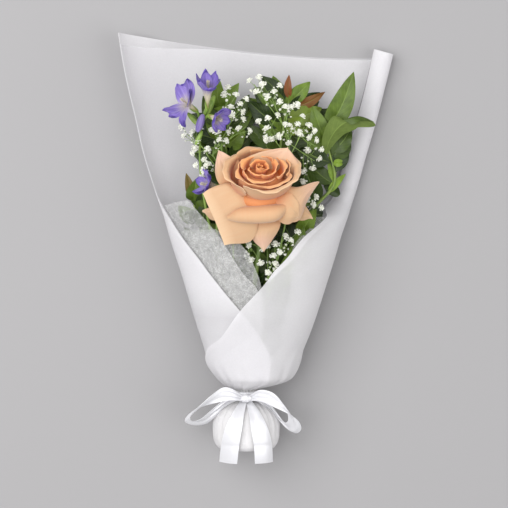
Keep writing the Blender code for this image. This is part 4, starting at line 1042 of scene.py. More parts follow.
def wrap_points(y, column, inset):
    """Points of the outer wrap: columns run from its left edge over the back to its rolled right edge.
    inset moves them in towards the flowers."""
    left, right, under, wide_l, high_l, turn_l, wide_r, high_r, turn_r = eased(WRAP_STATIONS, y).T
    middle_l, middle_r = left + wide_l, right - wide_r
    turn = np.radians(turn_l) * (1 - np.clip(column / SIDE_COLUMNS, 0, 1))
    left_x = middle_l - (wide_l - inset) * np.sin(turn)
    left_z = under + high_l - (high_l - inset) * np.cos(turn)
    # The last floor column lies under the roll
    roll_side = np.minimum(np.maximum(right - 2.5 * wide_r, middle_l), middle_r)
    share = (column - SIDE_COLUMNS) / (FLOOR_COLUMNS - 1)
    floor_x = np.where(
        share < 1,
        middle_l + (roll_side - middle_l) * share,
        roll_side + (middle_r - roll_side) * (column - RIGHT_START + 1),
    )
    turn = np.radians(turn_r) * np.clip((column - RIGHT_START) / ROLL_COLUMNS, 0, None)
    # The front panel spreads clear of the left flap below it, and the roll winds inwards
    out = FRONT_OVERLAP_GAP * smooth_step((np.degrees(turn) - 90) / 80)
    out *= 1 - smooth_step((y - 150) / 30)
    out -= ROLL_PITCH * np.maximum(turn - 1.5 * math.pi, 0) / math.tau * 2.0 * smooth_step((y - 175) / 20)
    right_x = middle_r + (wide_r + out - inset) * np.sin(turn)
    high_out = np.where(turn > math.pi / 2, out, 0.0)
    right_z = under + high_r - (high_r + high_out - inset) * np.cos(turn)
    x = np.where(column < SIDE_COLUMNS, left_x, np.where(column < RIGHT_START, floor_x, right_x))
    z = np.where(column < SIDE_COLUMNS, left_z, np.where(column < RIGHT_START, under + inset, right_z))
    points = np.stack([x, y, z], axis=1)
    slope = np.maximum((y - WRAP_TOP_SLOPE_START) / (WRAP_TOP_Y - WRAP_TOP_SLOPE_START), 0.0)
    points[:, 1] += slope * wrap_top(x, column, right - wide_r)
    return points


def wrap_top(x, column, roll_middle):
    """How far the sheet's top edge stands above its level line, with the roll's end square to it."""
    low, high = WRAP_TOP_SPAN
    share = np.clip((high - x) / (high - low), 0.0, 1.05)
    rise = WRAP_TOP_RISE * share**1.6 - WRAP_TOP_DROP
    rolled = smooth_step((column - RIGHT_START + 0.8) / 0.8)
    return rise + rolled * (ROLL_TOP_RISE - ROLL_TOP_SLOPE * (x - roll_middle))


def neck_pleats(y, column, depth):
    """How far the gathers at the neck push the paper in or out."""
    fade = np.exp(-np.maximum(y - WRAP_YS[0], 0) / NECK_PLEAT_FADE)
    turns = column / WRAP_COLUMNS * math.tau
    wave = np.sin(NECK_PLEATS * turns + 1.5 * np.sin(3 * turns))
    wave += 0.5 * np.sin(NECK_PLEATS * 1.7 * turns + 1.0)
    return depth * fade * wave


def outer_wrap_place(depth):
    def place(across, along):
        y = np.interp(along * (len(WRAP_YS) - 1), np.arange(len(WRAP_YS)), WRAP_YS)
        column = across * WRAP_COLUMNS
        inset = WRAP_INSET + neck_pleats(y, column, depth) + 0.5 * depth
        return sagged(wrap_points(y, column, inset), column, y)

    return place


def doubled_paper(columns, rows):
    """How nearly the cone's paper is closed to light: 1 on the folded left flap, low in front where the
    gathers bring the layers together, round the right side and in the roll, less in the front panel."""
    across, along = grid_shares(columns, rows)
    y = np.interp(along * (len(WRAP_YS) - 1), np.arange(len(WRAP_YS)), WRAP_YS)
    column = across * WRAP_COLUMNS
    flap = (1 - smooth_step((column - SIDE_COLUMNS + 4) / 4)) * smooth_step((y - 70) / 50)
    wall = 0.8 * smooth_step((column - RIGHT_START + 1) / 3)
    wall *= 1 - 0.25 * smooth_step((column - PANEL_COLUMN) / 4) * smooth_step((y - 80) / 40)
    neck = 0.7 * (1 - smooth_step((y - 40) / 65))
    roll = smooth_step((column - RIGHT_START) / 2) * smooth_step((y - 190) / 25)
    return np.max([flap, neck, wall, roll], axis=0)


def sagged(points, column, y):
    """The paper's slight unevenness, which leaves the part that lies on the surface flat."""
    lift = smooth_step((points[:, 2] - 3) / 20)
    roll = 1 - smooth_step((y - 190) / 20) * smooth_step((column - RIGHT_START) / 2)
    points[:, 2] += 0.5 * lift * roll * ripple(points, 70.0, 3)
    points[:, 0] += 0.5 * lift * roll * ripple(points, 85.0, 4)
    return points


def hem_place(across, along):
    """The strip that is turned under along the front panel's free edge."""
    y = HEM_SPAN[0] + (HEM_SPAN[1] - HEM_SPAN[0]) * along
    width = HEM_WIDTH * np.sin(math.pi * np.clip(along * 1.04 - 0.02, 0, 1)) ** 0.35
    _, _, _, _, _, _, wide_r, high_r, turn_r = eased(WRAP_STATIONS, y).T
    turned = np.radians(turn_r)
    per_column = turned / ROLL_COLUMNS * np.hypot(wide_r * np.cos(turned), high_r * np.sin(turned))
    column = WRAP_COLUMNS - across * width / np.maximum(per_column, 0.5)
    return sagged(wrap_points(y, column, WRAP_INSET + 0.1 + 0.7 * smooth_step(across * 3)), column, y)


def foot_place(depth):
    """The gathered neck and the rounded foot, which lies flat on the surface, down to its end."""
    profile = np.array(FOOT_PROFILE)
    run = np.concatenate([[0], np.cumsum(np.hypot(*np.diff(profile, axis=0).T))])
    end_y, end_radius = FOOT_PROFILE[-1]

    def place(across, along):
        ring = along * (run[-1] + end_radius)
        rows = np.column_stack([run, profile])
        y, radius = eased(rows, np.minimum(ring, run[-1])).T
        inner = np.maximum(ring - run[-1], 0)
        radius = np.where(inner > 0, end_radius - inner, radius)
        turn = across * math.tau
        gather = smooth_step((y - end_y) / 20) * smooth_step((radius - 4) / 10)
        wave = np.sin(FOOT_PLEATS * turn + 1.2 * np.sin(2 * turn))
        wave += 0.4 * np.sin(FOOT_PLEATS * 2 * turn + 0.7)
        radius = np.maximum(radius - WRAP_INSET + depth * gather * (wave - 1.2), 0.05)
        dent = 0.6 * smooth_step(inner / 8) * np.sin(9 * turn) * radius / end_radius
        y = y + 0.3 + np.where(inner > 0, dent, 0)
        z = np.maximum(AXIS_HEIGHT + radius * np.sin(turn), WRAP_INSET / 2)
        return np.stack([radius * np.cos(turn), y, z], axis=1)

    return place


def inner_sheet_place(across, along):
    """The second sheet, lying in the wrap's back a little short of its top edge."""
    ys = [y for y in WRAP_YS if y >= INNER_SHEET_START]
    y = np.interp(along * (len(ys) - 1), np.arange(len(ys)), ys)
    column = across * INNER_SHEET_COLUMNS
    flat = wrap_points(y, column, INNER_SHEET_INSET)
    short = 1.5 + INNER_SHEET_DROP * smooth_step(-(flat[:, 0] + 20) / 100)
    y = y - short * smooth_step((y - 305) / 40)
    return sagged(wrap_points(y, column, INNER_SHEET_INSET), column, y)


def tissue_place(side, edges, start_turn, inset, top_slant, share=1.0):
    """A tissue inside the front of the cone, from start_turn on one side to its free edge. share is how
    much of its length is laid."""
    rows = [row[0] for row in edges]

    def place(across, along):
        along = along * share
        y = np.interp(along * (len(rows) - 1), np.arange(len(rows)), rows)
        turn_end = eased(edges, y)[:, 0]
        turn = np.radians(start_turn + (turn_end - start_turn) * across)
        y = y - top_slant * (1 - across) * np.maximum(along - 0.6, 0.0) / 0.4
        left, right, under, wide_l, high_l, _, wide_r, high_r, _ = eased(WRAP_STATIONS, y).T
        if side < 0:
            x = left + wide_l - (wide_l - inset) * np.sin(turn)
            z = under + high_l - (high_l - inset) * np.cos(turn)
        else:
            # Past the top the tissue leaves the panel's own curve and reaches in to the flowers
            reach = np.where(np.sin(turn) < 0, np.maximum(wide_r, 40.0), wide_r)
            x = right - wide_r + (reach - inset) * np.sin(turn)
            z = under + high_r - (high_r - inset) * np.cos(turn)
        points = np.stack([x, y, z], axis=1)
        points[:, 2] += 0.35 * ripple(points, 38.0, 8) * smooth_step(across * 3)
        return points

    return place


class BOUQUET_OT_outer_wrap(bpy.types.Operator):
    """Rolls the outer wrapping paper into its cone, gathers its neck and rounds its foot"""

    bl_idname = "bouquet.outer_wrap"
    bl_label = "Outer wrap"

    def execute(self, context):
        settings = context.scene.bouquet_paper
        depth = settings.pleat_depth / MM
        grid = (WRAP_COLUMNS * WRAP_FINENESS, (len(WRAP_YS) - 1) * WRAP_FINENESS)
        parts = [
            shaded(sheet("cone", *grid, outer_wrap_place(depth)), doubled_paper(*grid)),
            shaded(sheet("hem", *GRIDS["hem"], hem_place), 1.0),
            shaded(sheet("foot", *GRIDS["foot"], foot_place(FOOT_PLEAT_DEPTH)), 1.0),
        ]
        wrap = merged(joined("outer_wrap_paper", parts), 0.02 * MM)
        thickened(wrap, settings.thickness)
        dressed(wrap, wrapping_paper("frosted non-woven wrap", tuple(settings.paper_colour), 0.7, 0.42))
        handed_over(wrap, "wrapping_paper", "outer_wrap")
        return {"FINISHED"}


class BOUQUET_OT_inner_sheet(bpy.types.Operator):
    """Lays the second sheet of paper in the back of the wrap"""

    bl_idname = "bouquet.inner_sheet"
    bl_label = "Inner sheet"

    def execute(self, context):
        settings = context.scene.bouquet_paper
        liner = sheet("inner_sheet_paper", *GRIDS["lining"], inner_sheet_place)
        thickened(liner, settings.thickness)
        dressed(liner, wrapping_paper("frosted non-woven lining", tuple(settings.paper_colour), 0.56, 0.5))
        handed_over(liner, "lining_paper", "inner_sheet")
        return {"FINISHED"}


class BOUQUET_OT_tissues(bpy.types.Operator):
    """Lays the three grey tissues inside the front of the cone"""

    bl_idname = "bouquet.tissues"
    bl_label = "Tissues"

    def execute(self, context):
        settings = context.scene.bouquet_paper
        finish = fibre_tissue(tuple(settings.tissue_colour))
        for name, side, edges, start_turn, inset, slant, doubled, cut in TISSUES:
            place = tissue_place(side, edges, start_turn, inset, slant)
            parts = [sheet(name, *GRIDS["tissue"], place)]
            if doubled:
                under = tissue_place(side, edges, start_turn, inset + TISSUE_LAYER_GAP, slant, doubled)
                parts.append(sheet(name, *GRIDS["tissue layer"], under))
            layer = joined(name + "_sheet", parts)
            thickened(layer, TISSUE_THICKNESS)
            dressed(layer, finish)
            handed_over(layer, "tissue", name)
        return {"FINISHED"}


# Ribbon


def strap_place(centres, acrosses, widths, lay=None, seed=0):
    """A flat ribbon along the centres, with its width direction and width at each one. Where it is
    drawn in to less than its real width it gathers in pleats, and lay rests it on what is below it."""

    def place(across, along):
        line = on_route(centres, along)
        sides = unit(on_route(acrosses, along))
        wide = on_route([(w, 0, 0) for w in widths], along)[:, 0]
        if lay:
            return lay(line, sides * wide[:, None] * (across - 0.5)[:, None])
        ahead = unit(on_route(centres, along + 0.01) - on_route(centres, along - 0.01))
        normal = unit(np.cross(sides, ahead))
        gathered = np.clip((RIBBON_WIDTH - wide) / RIBBON_WIDTH, 0, 1)
        pleat = np.sin(across * math.tau * 2.5 + seed) + 0.4 * np.sin(across * math.tau * 5 + 2 * seed)
        curve = 1.1 * np.sin(across * math.pi) * np.sin(along * math.pi)
        curve += 0.6 * np.sin(across * 9 + along * 4 + seed) * np.sin(along * math.pi)
        spread = line + sides * (wide * (across - 0.5))[:, None]
        return spread + normal * (1.5 * gathered * pleat + curve)[:, None]

    return place


def over_foot(line, spread):
    """Points of a ribbon tail laid over the foot, or dropped just past the foot's end."""
    points = line + spread
    over = eased(sorted(FOOT_PROFILE), np.maximum(points[:, 1], TAIL_FOOT_END))[:, 0] + TAIL_CLEARANCE
    past = np.maximum(TAIL_DROP_START - points[:, 1], 0.0)
    points[:, 2] = AXIS_HEIGHT + np.sqrt(over**2 - points[:, 0] ** 2) - TAIL_DROP * past**2
    near = smooth_step((points[:, 1] + 30) / 26)
    share = (points[:, 0] - line[:, 0]) / 9
    points[:, 2] += 0.9 * near * np.sin(share * 5.2) + 0.25 * np.sin(points[:, 1] / 9 + share)
    points[:, 2] += 0.5 * np.sin(share * 2.6 + 0.6 * np.sin(points[:, 1] / 14))
    return points


def band_place(across, along):
    """The band round the neck, drawn together in lengthwise folds."""
    turn = across * math.tau
    fold = 0.35 * np.sin(along * math.tau * 3) + 0.15 * np.sin(turn * 7)
    radius = BAND_RADIUS + fold
    y = BAND_HALF_WIDTH * (2 * along - 1) * (1 + 0.08 * np.sin(turn * 3))
    return np.stack([radius * np.cos(turn), y, AXIS_HEIGHT + radius * np.sin(turn)], axis=1)


def knot():
    """The knot: a rounded fold of ribbon with pleats that run over it."""
    made = added(bpy.ops.mesh.primitive_uv_sphere_add, "knot", segments=56, ring_count=32, radius=1.0)
    ball = corners_of(made)
    pleat = 0.07 * np.sin(ball[:, 0] * 9.0 + 1.2 * ball[:, 1]) + 0.03 * np.sin(ball[:, 0] * 21)
    waist = 1 - 0.16 * (1 - np.abs(ball[:, 0])) * (1 - ball[:, 1] ** 2) * 0.5
    ball = ball * (1 + pleat * (1 - ball[:, 0] ** 2))[:, None]
    ball[:, 0] *= waist
    return reshaped(made, set_down(ball * KNOT_HALF_SIZE + KNOT_MIDDLE))


class BOUQUET_OT_ribbon(bpy.types.Operator):
    """Ties the satin ribbon: band, knot, two loops and two tails"""

    bl_idname = "bouquet.ribbon"
    bl_label = "Satin ribbon"

    def execute(self, context):
        settings = context.scene.bouquet_ribbon
        level = ((1, 0, 0),) * len(TAIL_WIDTHS)
        parts = [
            sheet("band", *GRIDS["band"], band_place),
            sheet("left loop", *GRIDS["loop"], strap_place(*LEFT_LOOP, seed=1)),
            sheet("right loop", *GRIDS["loop"], strap_place(*RIGHT_LOOP, seed=3)),
            sheet("left tail", *GRIDS["tail"], strap_place(LEFT_TAIL, level, TAIL_WIDTHS, over_foot)),
            sheet("right tail", *GRIDS["tail"], strap_place(RIGHT_TAIL, level, TAIL_WIDTHS, over_foot)),
        ]
        bow = thickened(joined("satin_ribbon_bow", parts), settings.thickness)
        bow = joined("satin_ribbon_bow", [bow, knot()])
        dressed(bow, satin(tuple(settings.colour)))
        handed_over(bow, "satin", "satin_ribbon")
        return {"FINISHED"}


# Rose


def outline(along, widest, base, point):
    """A petal's or leaf's half width as a share of its widest."""
    low = base + (1 - base) * np.sin(math.pi / 2 * np.clip(along / widest, 0, 1))
    high = np.cos(math.pi / 2 * np.clip((along - widest) / (1 - widest), 0, 1)) ** point
    return np.maximum(np.where(along < widest, low, high), 0.012)


def bloom_frame(origin, axis, up=(0.0, 1.0, 0.0)):
    """Origin, two cross directions and the axis of a bloom."""
    axis = unit(axis)
    right = unit(np.cross(up, axis))
    return np.array(origin, dtype=float), right, np.cross(axis, right), axis


def petal_place(bloom, azimuth, profile, width, shape, curl=0.0, flare=0.0, ruffle=0.0, seed=0):
    """One petal of a star-shaped bloom. Its midline is the profile of (radius, height) points at the
    azimuth. curl drops its sides, flare rolls its rim out and ruffle waves its edge."""
    origin, right, up, axis = bloom

    def place(across, along):
        spot = on_route([(r, h, 0) for r, h in profile], along)
        side = 2 * across - 1
        reach = width * outline(along, *shape)
        sweep = np.minimum(reach / np.maximum(spot[:, 0], 0.35 * width), 1.9)
        angle = math.radians(azimuth) + side * sweep
        rim = smooth_step((np.abs(side) - 0.45) / 0.55) * smooth_step((along - 0.25) / 0.5)
        rim = np.maximum(rim, smooth_step((along - 0.86) / 0.14))
        wave = ruffle * along**2 * np.sin(side * 7 + along * 5 + seed) * (0.3 + 0.7 * np.abs(side))
        radius = spot[:, 0] + flare * rim + 0.6 * wave
        height = spot[:, 1] - curl * along * side**2 - 0.55 * flare * rim**2 + wave
        flat = right * np.cos(angle)[:, None] + up * np.sin(angle)[:, None]
        return origin + flat * radius[:, None] + axis * height[:, None]

    return place


def rose_core_top(radius):
    """The height where a cup petal's foot starts: on the upper core near the heart, else on the lower."""
    height, wide, tall = CUP_CORE if radius < 0.7 * CUP_CORE[1] else ROSE_CORE
    return height + tall * math.sqrt(max(1 - (radius / wide) ** 2, 0.0))


def cup_petal_place(azimuth, sweep, radius, top, lip, drop, tuck, seed):
    """One petal of the rose's cup, wrapped round the ones inside it, its lip rolled outwards."""
    origin, right, up, axis = bloom_frame(ROSE_BASE, ROSE_AXIS)
    foot = rose_core_top(0.72 * radius) - 2.0
    rise = top - foot
    profile = (
        (0.72 * radius, foot), (0.95 * radius, foot + 0.35 * rise), (radius, foot + 0.7 * rise),
        (radius + 0.12 * lip, top - 0.35 * lip), (radius + 0.5 * lip, top), (radius + lip, top - 0.3 * lip),
    )
    offset = np.array(HEART_OFFSET) * max(1 - radius / CUP_RADIUS, 0)

    def place(across, along):
        side = 2 * across - 1
        reach = along * (1 - drop * np.abs(side) ** 2.6)
        spot = on_route([(r, h, 0) for r, h in profile], reach)
        angle = math.radians(azimuth) + side * math.radians(sweep) * (0.55 + 0.45 * smooth_step(1.5 * along))
        rim = smooth_step((along - 0.45) / 0.55)
        size = min(0.5 + 0.05 * radius, 1.8)
        wave = size * rim * (np.sin(3 * angle + seed) + 0.5 * np.sin(7 * angle + 2.3 * seed))
        wave += 0.25 * size * rim * np.sin(17 * angle + 3.1 * seed)
        out = spot[:, 0] + tuck * side * rim + wave
        height = spot[:, 1] + 0.7 * size * rim * np.sin(4 * angle + 1.7 * seed)
        depth = CUP_DEPTH * np.where(np.sin(angle) < 0, CUP_FRONT, 1.0)
        x, y = out * np.cos(angle) + offset[0], out * np.sin(angle) * depth + offset[1]
        height = height + CUP_LEAN * y
        return origin + right * x[:, None] + up * y[:, None] + axis * height[:, None]

    return place


def spread_petal_place(left, right, bulge, seed):
    """One spread petal between its two edges, its sides rolled back."""
    axis = unit(ROSE_AXIS)

    def place(across, along):
        side = 2 * across - 1
        start, end = on_route(left, along), on_route(right, along)
        swell = bulge * (1 - side**2) * np.sin(math.pi * np.clip(along, 0, 1)) ** 0.6
        roll = 4.0 * np.clip((np.abs(side) - 0.76) / 0.24, 0, 1) ** 2
        roll *= smooth_step((along - 0.3) * 3) * (1 - 0.8 * smooth_step((along - 0.7) / 0.25))
        roll += 1.5 * np.clip((along - 0.85) / 0.15, 0, 1) ** 2
        wave = 0.5 * along * np.sin(5.0 * across + 7 * along + seed) * np.abs(side)
        wave -= 1.7 * np.exp(-(((side - 0.15) / 0.3) ** 2)) * smooth_step(along * 2) * (1.1 - along)
        wave += 1.1 * np.sin(7 * across + 4 * along + seed) * smooth_step((along - 0.2) * 3)
        wave += 0.3 * np.sin(23 * across - 6 * along + 2 * seed) * smooth_step((along - 0.4) * 3)
        points = start + (end - start) * across[:, None]
        return np.array(ROSE_BASE) + points + axis * (swell - roll + wave)[:, None]

    return place


def rolled_petal_place(across, along):
    """The front petal: up from the core, over and down in a roll."""
    foot, middle = on_route(ROLLED_FOOT, across), on_route(ROLLED_MIDDLE, across)
    radius = on_route([(r, 0, 0) for r in ROLLED_RADII], across)[:, 0]
    rolled = np.clip((along - 0.3) / 0.7, 0, 1)
    turn = np.radians(10 + 270 * rolled)
    radius = radius * (1 - 0.3 * rolled) + 0.3 * np.sin(9 * across + 4 * along) * smooth_step(rolled * 5)
    ring = np.stack([np.zeros_like(turn), np.cos(turn) * radius, np.sin(turn) * radius], axis=1)
    lean = np.clip(along / 0.3, 0, 1)[:, None]
    return np.array(ROSE_BASE) + foot + (middle + ring - foot) * lean


def rose_petals():
    """Every petal as its grid, place, tone and blush."""
    rows = []
    for seed, (azimuth, sweep, radius, top, lip, drop, tuck, tone) in enumerate(CUP_PETALS):
        place = cup_petal_place(azimuth, sweep, radius, top, lip, drop, tuck, seed)
        rows.append(((30 + int(radius), 24), place, tone, 0.0))
    for seed, (left, right, bulge, blush) in enumerate(SPREAD_PETALS):
        rows.append((GRIDS["spread petal"], spread_petal_place(left, right, bulge, seed), 1.0, blush))
    rows.append((GRIDS["rolled petal"], rolled_petal_place, 0.95, 0.3))
    return rows


class BOUQUET_OT_rose(bpy.types.Operator):
    """Models the rose's bloom, petal by petal"""

    bl_idname = "bouquet.rose"
    bl_label = "Rose bloom"

    def execute(self, context):
        settings = context.scene.bouquet_rose
        parts = []
        for grid, place, tone, blush in rose_petals():
            petal = sheet("petal", *grid, place)
            _, along = grid_shares(*grid)
            flush = blush * smooth_step((along - 0.45) / 0.5)
            # The outer petals lie open, so the deep orange, partly painted shade, stays at their very feet
            parts.append(shaded(petal, along**0.45 if tone > 0.92 else along, tone, flush))
        bloom = thickened(joined("rose_bloom_petals", parts), settings.thickness)
        # The cores are coloured partly in the petals' deep orange: painted shade under the cup over their own
        # colour
        cores = [shaded(core, 0.42, 0.4) for core in rose_cores()]
        bloom = joined("rose_bloom_petals", [bloom, *cores])
        dressed(bloom, rose_petal_skin(settings))
        handed_over(bloom, "rose_petal", "rose_bloom")
        return {"FINISHED"}


def rose_cores():
    """The two bodies that the petals stand on, the upper one inside the cup."""
    origin, right, up, axis = bloom_frame(ROSE_BASE, ROSE_AXIS)
    made = []
    for (height, wide, tall), depth in ((ROSE_CORE, 1.0), (CUP_CORE, CUP_DEPTH)):
        half_size = (wide, wide * depth, tall)
        made.append(rounded("core", origin + axis * height, half_size, (right, up, axis), 40, 24))
    return made


class BOUQUET_OT_rose_stem(bpy.types.Operator):
    """Models the rose's stem, hip and sepals"""

    bl_idname = "bouquet.rose_stem"
    bl_label = "Rose stem"

    def execute(self, context):
        origin, _, _, axis = bloom_frame(ROSE_BASE, ROSE_AXIS)
        depth, wide, tall = ROSE_HIP
        hip = bloom_frame(origin - axis * depth, ROSE_AXIS)
        route = np.vstack([stepped(ROSE_ROUTE, 36), origin - axis * (depth + 1.4)])
        parts = [tubes("stem", [(route, np.linspace(2.7, 2.3, len(route)))], 4)]
        parts.append(rounded("hip", hip[0], (wide, wide, tall), hip[1:]))
        sepals = []
        for k in range(ROSE_SEPALS):
            azimuth = 20 + 360 / ROSE_SEPALS * k
            place = petal_place(
                hip, azimuth, SEPAL_PROFILE, SEPAL_HALF_WIDTH, (0.35, 0.8, 1.0), ruffle=0.3)
            sepals.append(sheet("sepal", *GRIDS["sepal"], place))
        parts.append(thickened(joined("sepals", sepals), SEPAL_THICKNESS))
        made = joined("rose_stem_green", parts)
        dressed(made, green_stem("rose stem skin", linear("#3E5A22"), linear("#6E7F3C")))
        handed_over(made, "rose_green", "rose_stem")
        return {"FINISHED"}


# Freesia


def freesia_parts(name, base, axis, size, seed):
    """The frame of one bloom and its six petals, which meet in a tube."""
    bloom = bloom_frame(base, axis, FREESIA_UP)
    petals = []
    for k, (azimuth, reach, fall, wide) in enumerate(FREESIA_PETALS[name]):
        inner = 0.8 * (k % 2)
        open_out = smooth_step((reach - 9) / 9)
        profile = (
            (1.3, 0.0), (1.9, 0.2 * size), (3.9 - 0.6 * inner, 0.44 * size),
            (0.66 * reach - inner, 0.64 * size - 0.1 * fall), (reach - inner, 0.84 * size - 0.45 * fall),
            ((1 + 0.1 * open_out) * reach, size - fall),
        )
        place = petal_place(
            bloom, azimuth, profile, wide, (0.7, 0.28, 0.75),
            curl=2.2, flare=0.3 + 1.8 * open_out, ruffle=1.1 + 1.6 * open_out, seed=k + seed)
        petal = sheet("petal", *GRIDS["freesia petal"], place)
        _, along = grid_shares(*GRIDS["freesia petal"])
        petals.append(shaded(petal, along, 0.7 * (k % 2) * smooth_step((along - 0.5) * 3)))
    return bloom, petals


def bud(base, tip, wide):
    """A closed bud from its base to its tip."""
    base, tip = np.array(base, dtype=float), np.array(tip, dtype=float)
    _, right, up, axis = bloom_frame(base, tip - base)
    return rounded("bud", (base + tip) / 2, (wide, wide, np.linalg.norm(tip - base) / 2), (right, up, axis))


class BOUQUET_OT_freesia(bpy.types.Operator):
    """Models the four freesia blooms"""

    bl_idname = "bouquet.freesia"
    bl_label = "Freesia blooms"

    def execute(self, context):
        settings = context.scene.bouquet_freesia
        skin = freesia_petal_skin(settings)
        for seed, (name, base, axis, size) in enumerate(FREESIA_BLOOMS):
            bloom, petals = freesia_parts(name, base, axis, size, seed + 2)
            cup = thickened(joined("cup", petals), settings.thickness)
            if name == "freesia_bloom_b":
                cup = joined("cup", [cup, shaded(bud(*FREESIA_VIOLET_BUD), 0.6, 0.6)])
            origin, right, up, direction = bloom
            runs = []
            for k in range(3):
                turn = math.radians(120 * k + 30)
                lean = right * math.cos(turn) + up * math.sin(turn)
                ends = [origin + direction * size * s + lean * 2.0 * s * s for s in (0.3, 0.55, 0.8)]
                runs.append((ends, (0.35, 0.35, 0.7)))
            stamens = shaded(tubes("stamens", runs), 0.3, 0.0)
            made = dressed(joined(name + "_petals", [cup, stamens]), skin)
            handed_over(made, "freesia_petal", name)
        return {"FINISHED"}


class BOUQUET_OT_freesia_stem(bpy.types.Operator):
    """Models the freesia's arching stem, branch, stalks, bracts and buds"""

    bl_idname = "bouquet.freesia_stem"
    bl_label = "Freesia stem"

    def execute(self, context):
        route, branch = stepped(FREESIA_ROUTE, 44), stepped(FREESIA_BRANCH, 20)
        runs = [(route, np.linspace(1.7, 1.1, 44)), (branch, np.linspace(1.3, 0.9, 20))]
        buds = [bud(*row) for row in FREESIA_BUDS]
        bracts = []
        for _, base, axis, _ in FREESIA_BLOOMS:
            base, axis = np.array(base), unit(axis)
            start = route[-1] if base[1] > FREESIA_ROUTE[-2][1] else branch[-1]
            end = base - axis * 0.3
            stalk = (start, (start + end) / 2 - axis * 0.4, end - axis * 1.5, end)
            runs.append((stepped(stalk, 10), (1.2,) * 9 + (1.4,)))
            cuff = bloom_frame(base - axis * 1.5, axis, FREESIA_UP)
            for azimuth in (0, 180):
                place = petal_place(cuff, azimuth, BRACT_PROFILE, BRACT_HALF_WIDTH, (0.3, 0.8, 0.9))
                bracts.append(sheet("bract", *GRIDS["bract"], place))
        parts = [tubes("stems", runs, 3), thickened(joined("bracts", bracts), BRACT_THICKNESS), *buds]
        made = joined("freesia_stem_green", parts)
        dressed(made, green_stem("freesia stem skin", linear("#5E7F2B"), linear("#93AC4E"), 0.4))
        handed_over(made, "freesia_green", "freesia_stem")
        return {"FINISHED"}


# Leafy stems


def leaf_place(base, tip, wide, lean, seed):
    """A pointed leaf from its stem to its tip, arched along and folded at the midrib. lean turns its
    face about its own length."""
    draw = random.Random(seed)
    base, tip = np.array(base, dtype=float), np.array(tip, dtype=float)
    run = unit(tip - base)
    side = unit(np.cross(run, (0.0, 0.0, 1.0)))
    bend = draw.uniform(-0.07, 0.07) * np.linalg.norm(tip - base)
    midline = (base, (base + tip) / 2 + np.cross(side, run) * LEAF_ARCH + side * bend, tip)
    twist = lean + draw.uniform(-14, 14)
    wave, phase = draw.uniform(0.02, 0.05) * wide, draw.uniform(0, math.tau)
    fold = draw.uniform(0.14, 0.26)

    def place(across, along):
        x = 2 * across - 1
        centre = on_route(midline, along)
        ahead = unit(on_route(midline, along + 0.02) - on_route(midline, along - 0.02))
        flat = unit(np.cross(ahead, np.array((0.0, 0.0, 1.0))))
        flat = turned_about(flat, ahead, twist * (0.5 + along))
        face = np.cross(flat, ahead)
        reach = 0.5 * wide * outline(along, 0.42, 0.1, 0.85) * (0.22 + 0.78 * smooth_step(along / 0.22))
        edge = wave * np.sin(along * 16 + phase + x) * x**2 * smooth_step(along * 4)
        veins = 0.12 * np.abs(x) * np.cos((along - 0.25 * np.abs(x)) * 56) - 0.25 * np.exp(-((x / 0.12) ** 2))
        lift = fold * reach * (np.abs(x) - 0.35 * x**2) + edge + veins * smooth_step(along * 5)
        return centre + flat * (x * reach)[:, None] + face * lift[:, None]

    return place


def routed_leaf_place(points, wide):
    """A leaf that follows its own curved midline, its underside to the viewer. Near its tip one side
    folds over and shows its upper face."""

    def place(across, along):
        x = 2 * across - 1
        centre = on_route(points, along)
        ahead = unit(on_route(points, along + 0.03) - on_route(points, along - 0.03))
        flat = unit(np.cross((0.0, 0.0, -1.0), ahead))
        flat = turned_about(flat, ahead, 20 - 35 * smooth_step((along - 0.55) / 0.45))
        face = np.cross(ahead, flat)
        reach = 0.5 * wide * outline(along, 0.55, 0.1, 0.7)
        past = np.maximum(-x * reach - 1.0, 0.0) * smooth_step((along - 0.45) / 0.2)
        turn = np.minimum(past / 1.5, 2.6)
        rest = past - 1.5 * turn
        flat_way = x * reach + past - 1.5 * np.sin(turn) - rest * np.cos(turn)
        lift = 0.2 * np.abs(x) * reach + 0.6 * np.sin(along * 17 + x) * x**2
        lift -= 1.5 * (1 - np.cos(turn)) + rest * np.sin(turn)
        return centre + flat * flat_way[:, None] + face * lift[:, None]

    return place


def kept_inside(tip):
    """The tip moved in to where the wrap has room for it."""
    left, right, under, wide_l, high_l, _, wide_r, high_r, _ = eased(WRAP_STATIONS, tip[1])[0]
    x = min(max(tip[0], left + FILLER_MARGIN), right - 2 * min(wide_r, FILLER_ROLL_RADIUS) - 4.0)
    x = min(max(x, FILLER_SPAN_X[0]), FILLER_SPAN_X[1])
    if x < left + wide_l:
        wide, high, off = wide_l, high_l, left + wide_l - x
    else:
        wide, high, off = wide_r, high_r, x - right + wide_r
    top = under + high * (1 + math.sqrt(max(1 - (max(off, 0.0) / wide) ** 2, 0.0))) - FILLER_MARGIN
    if tip[1] > FILLER_OPEN_Y:
        top = FILLER_OPEN_TOP
    return np.array((x, tip[1], min(max(tip[2], FILLER_LOWEST), max(top, FILLER_LOWEST))))


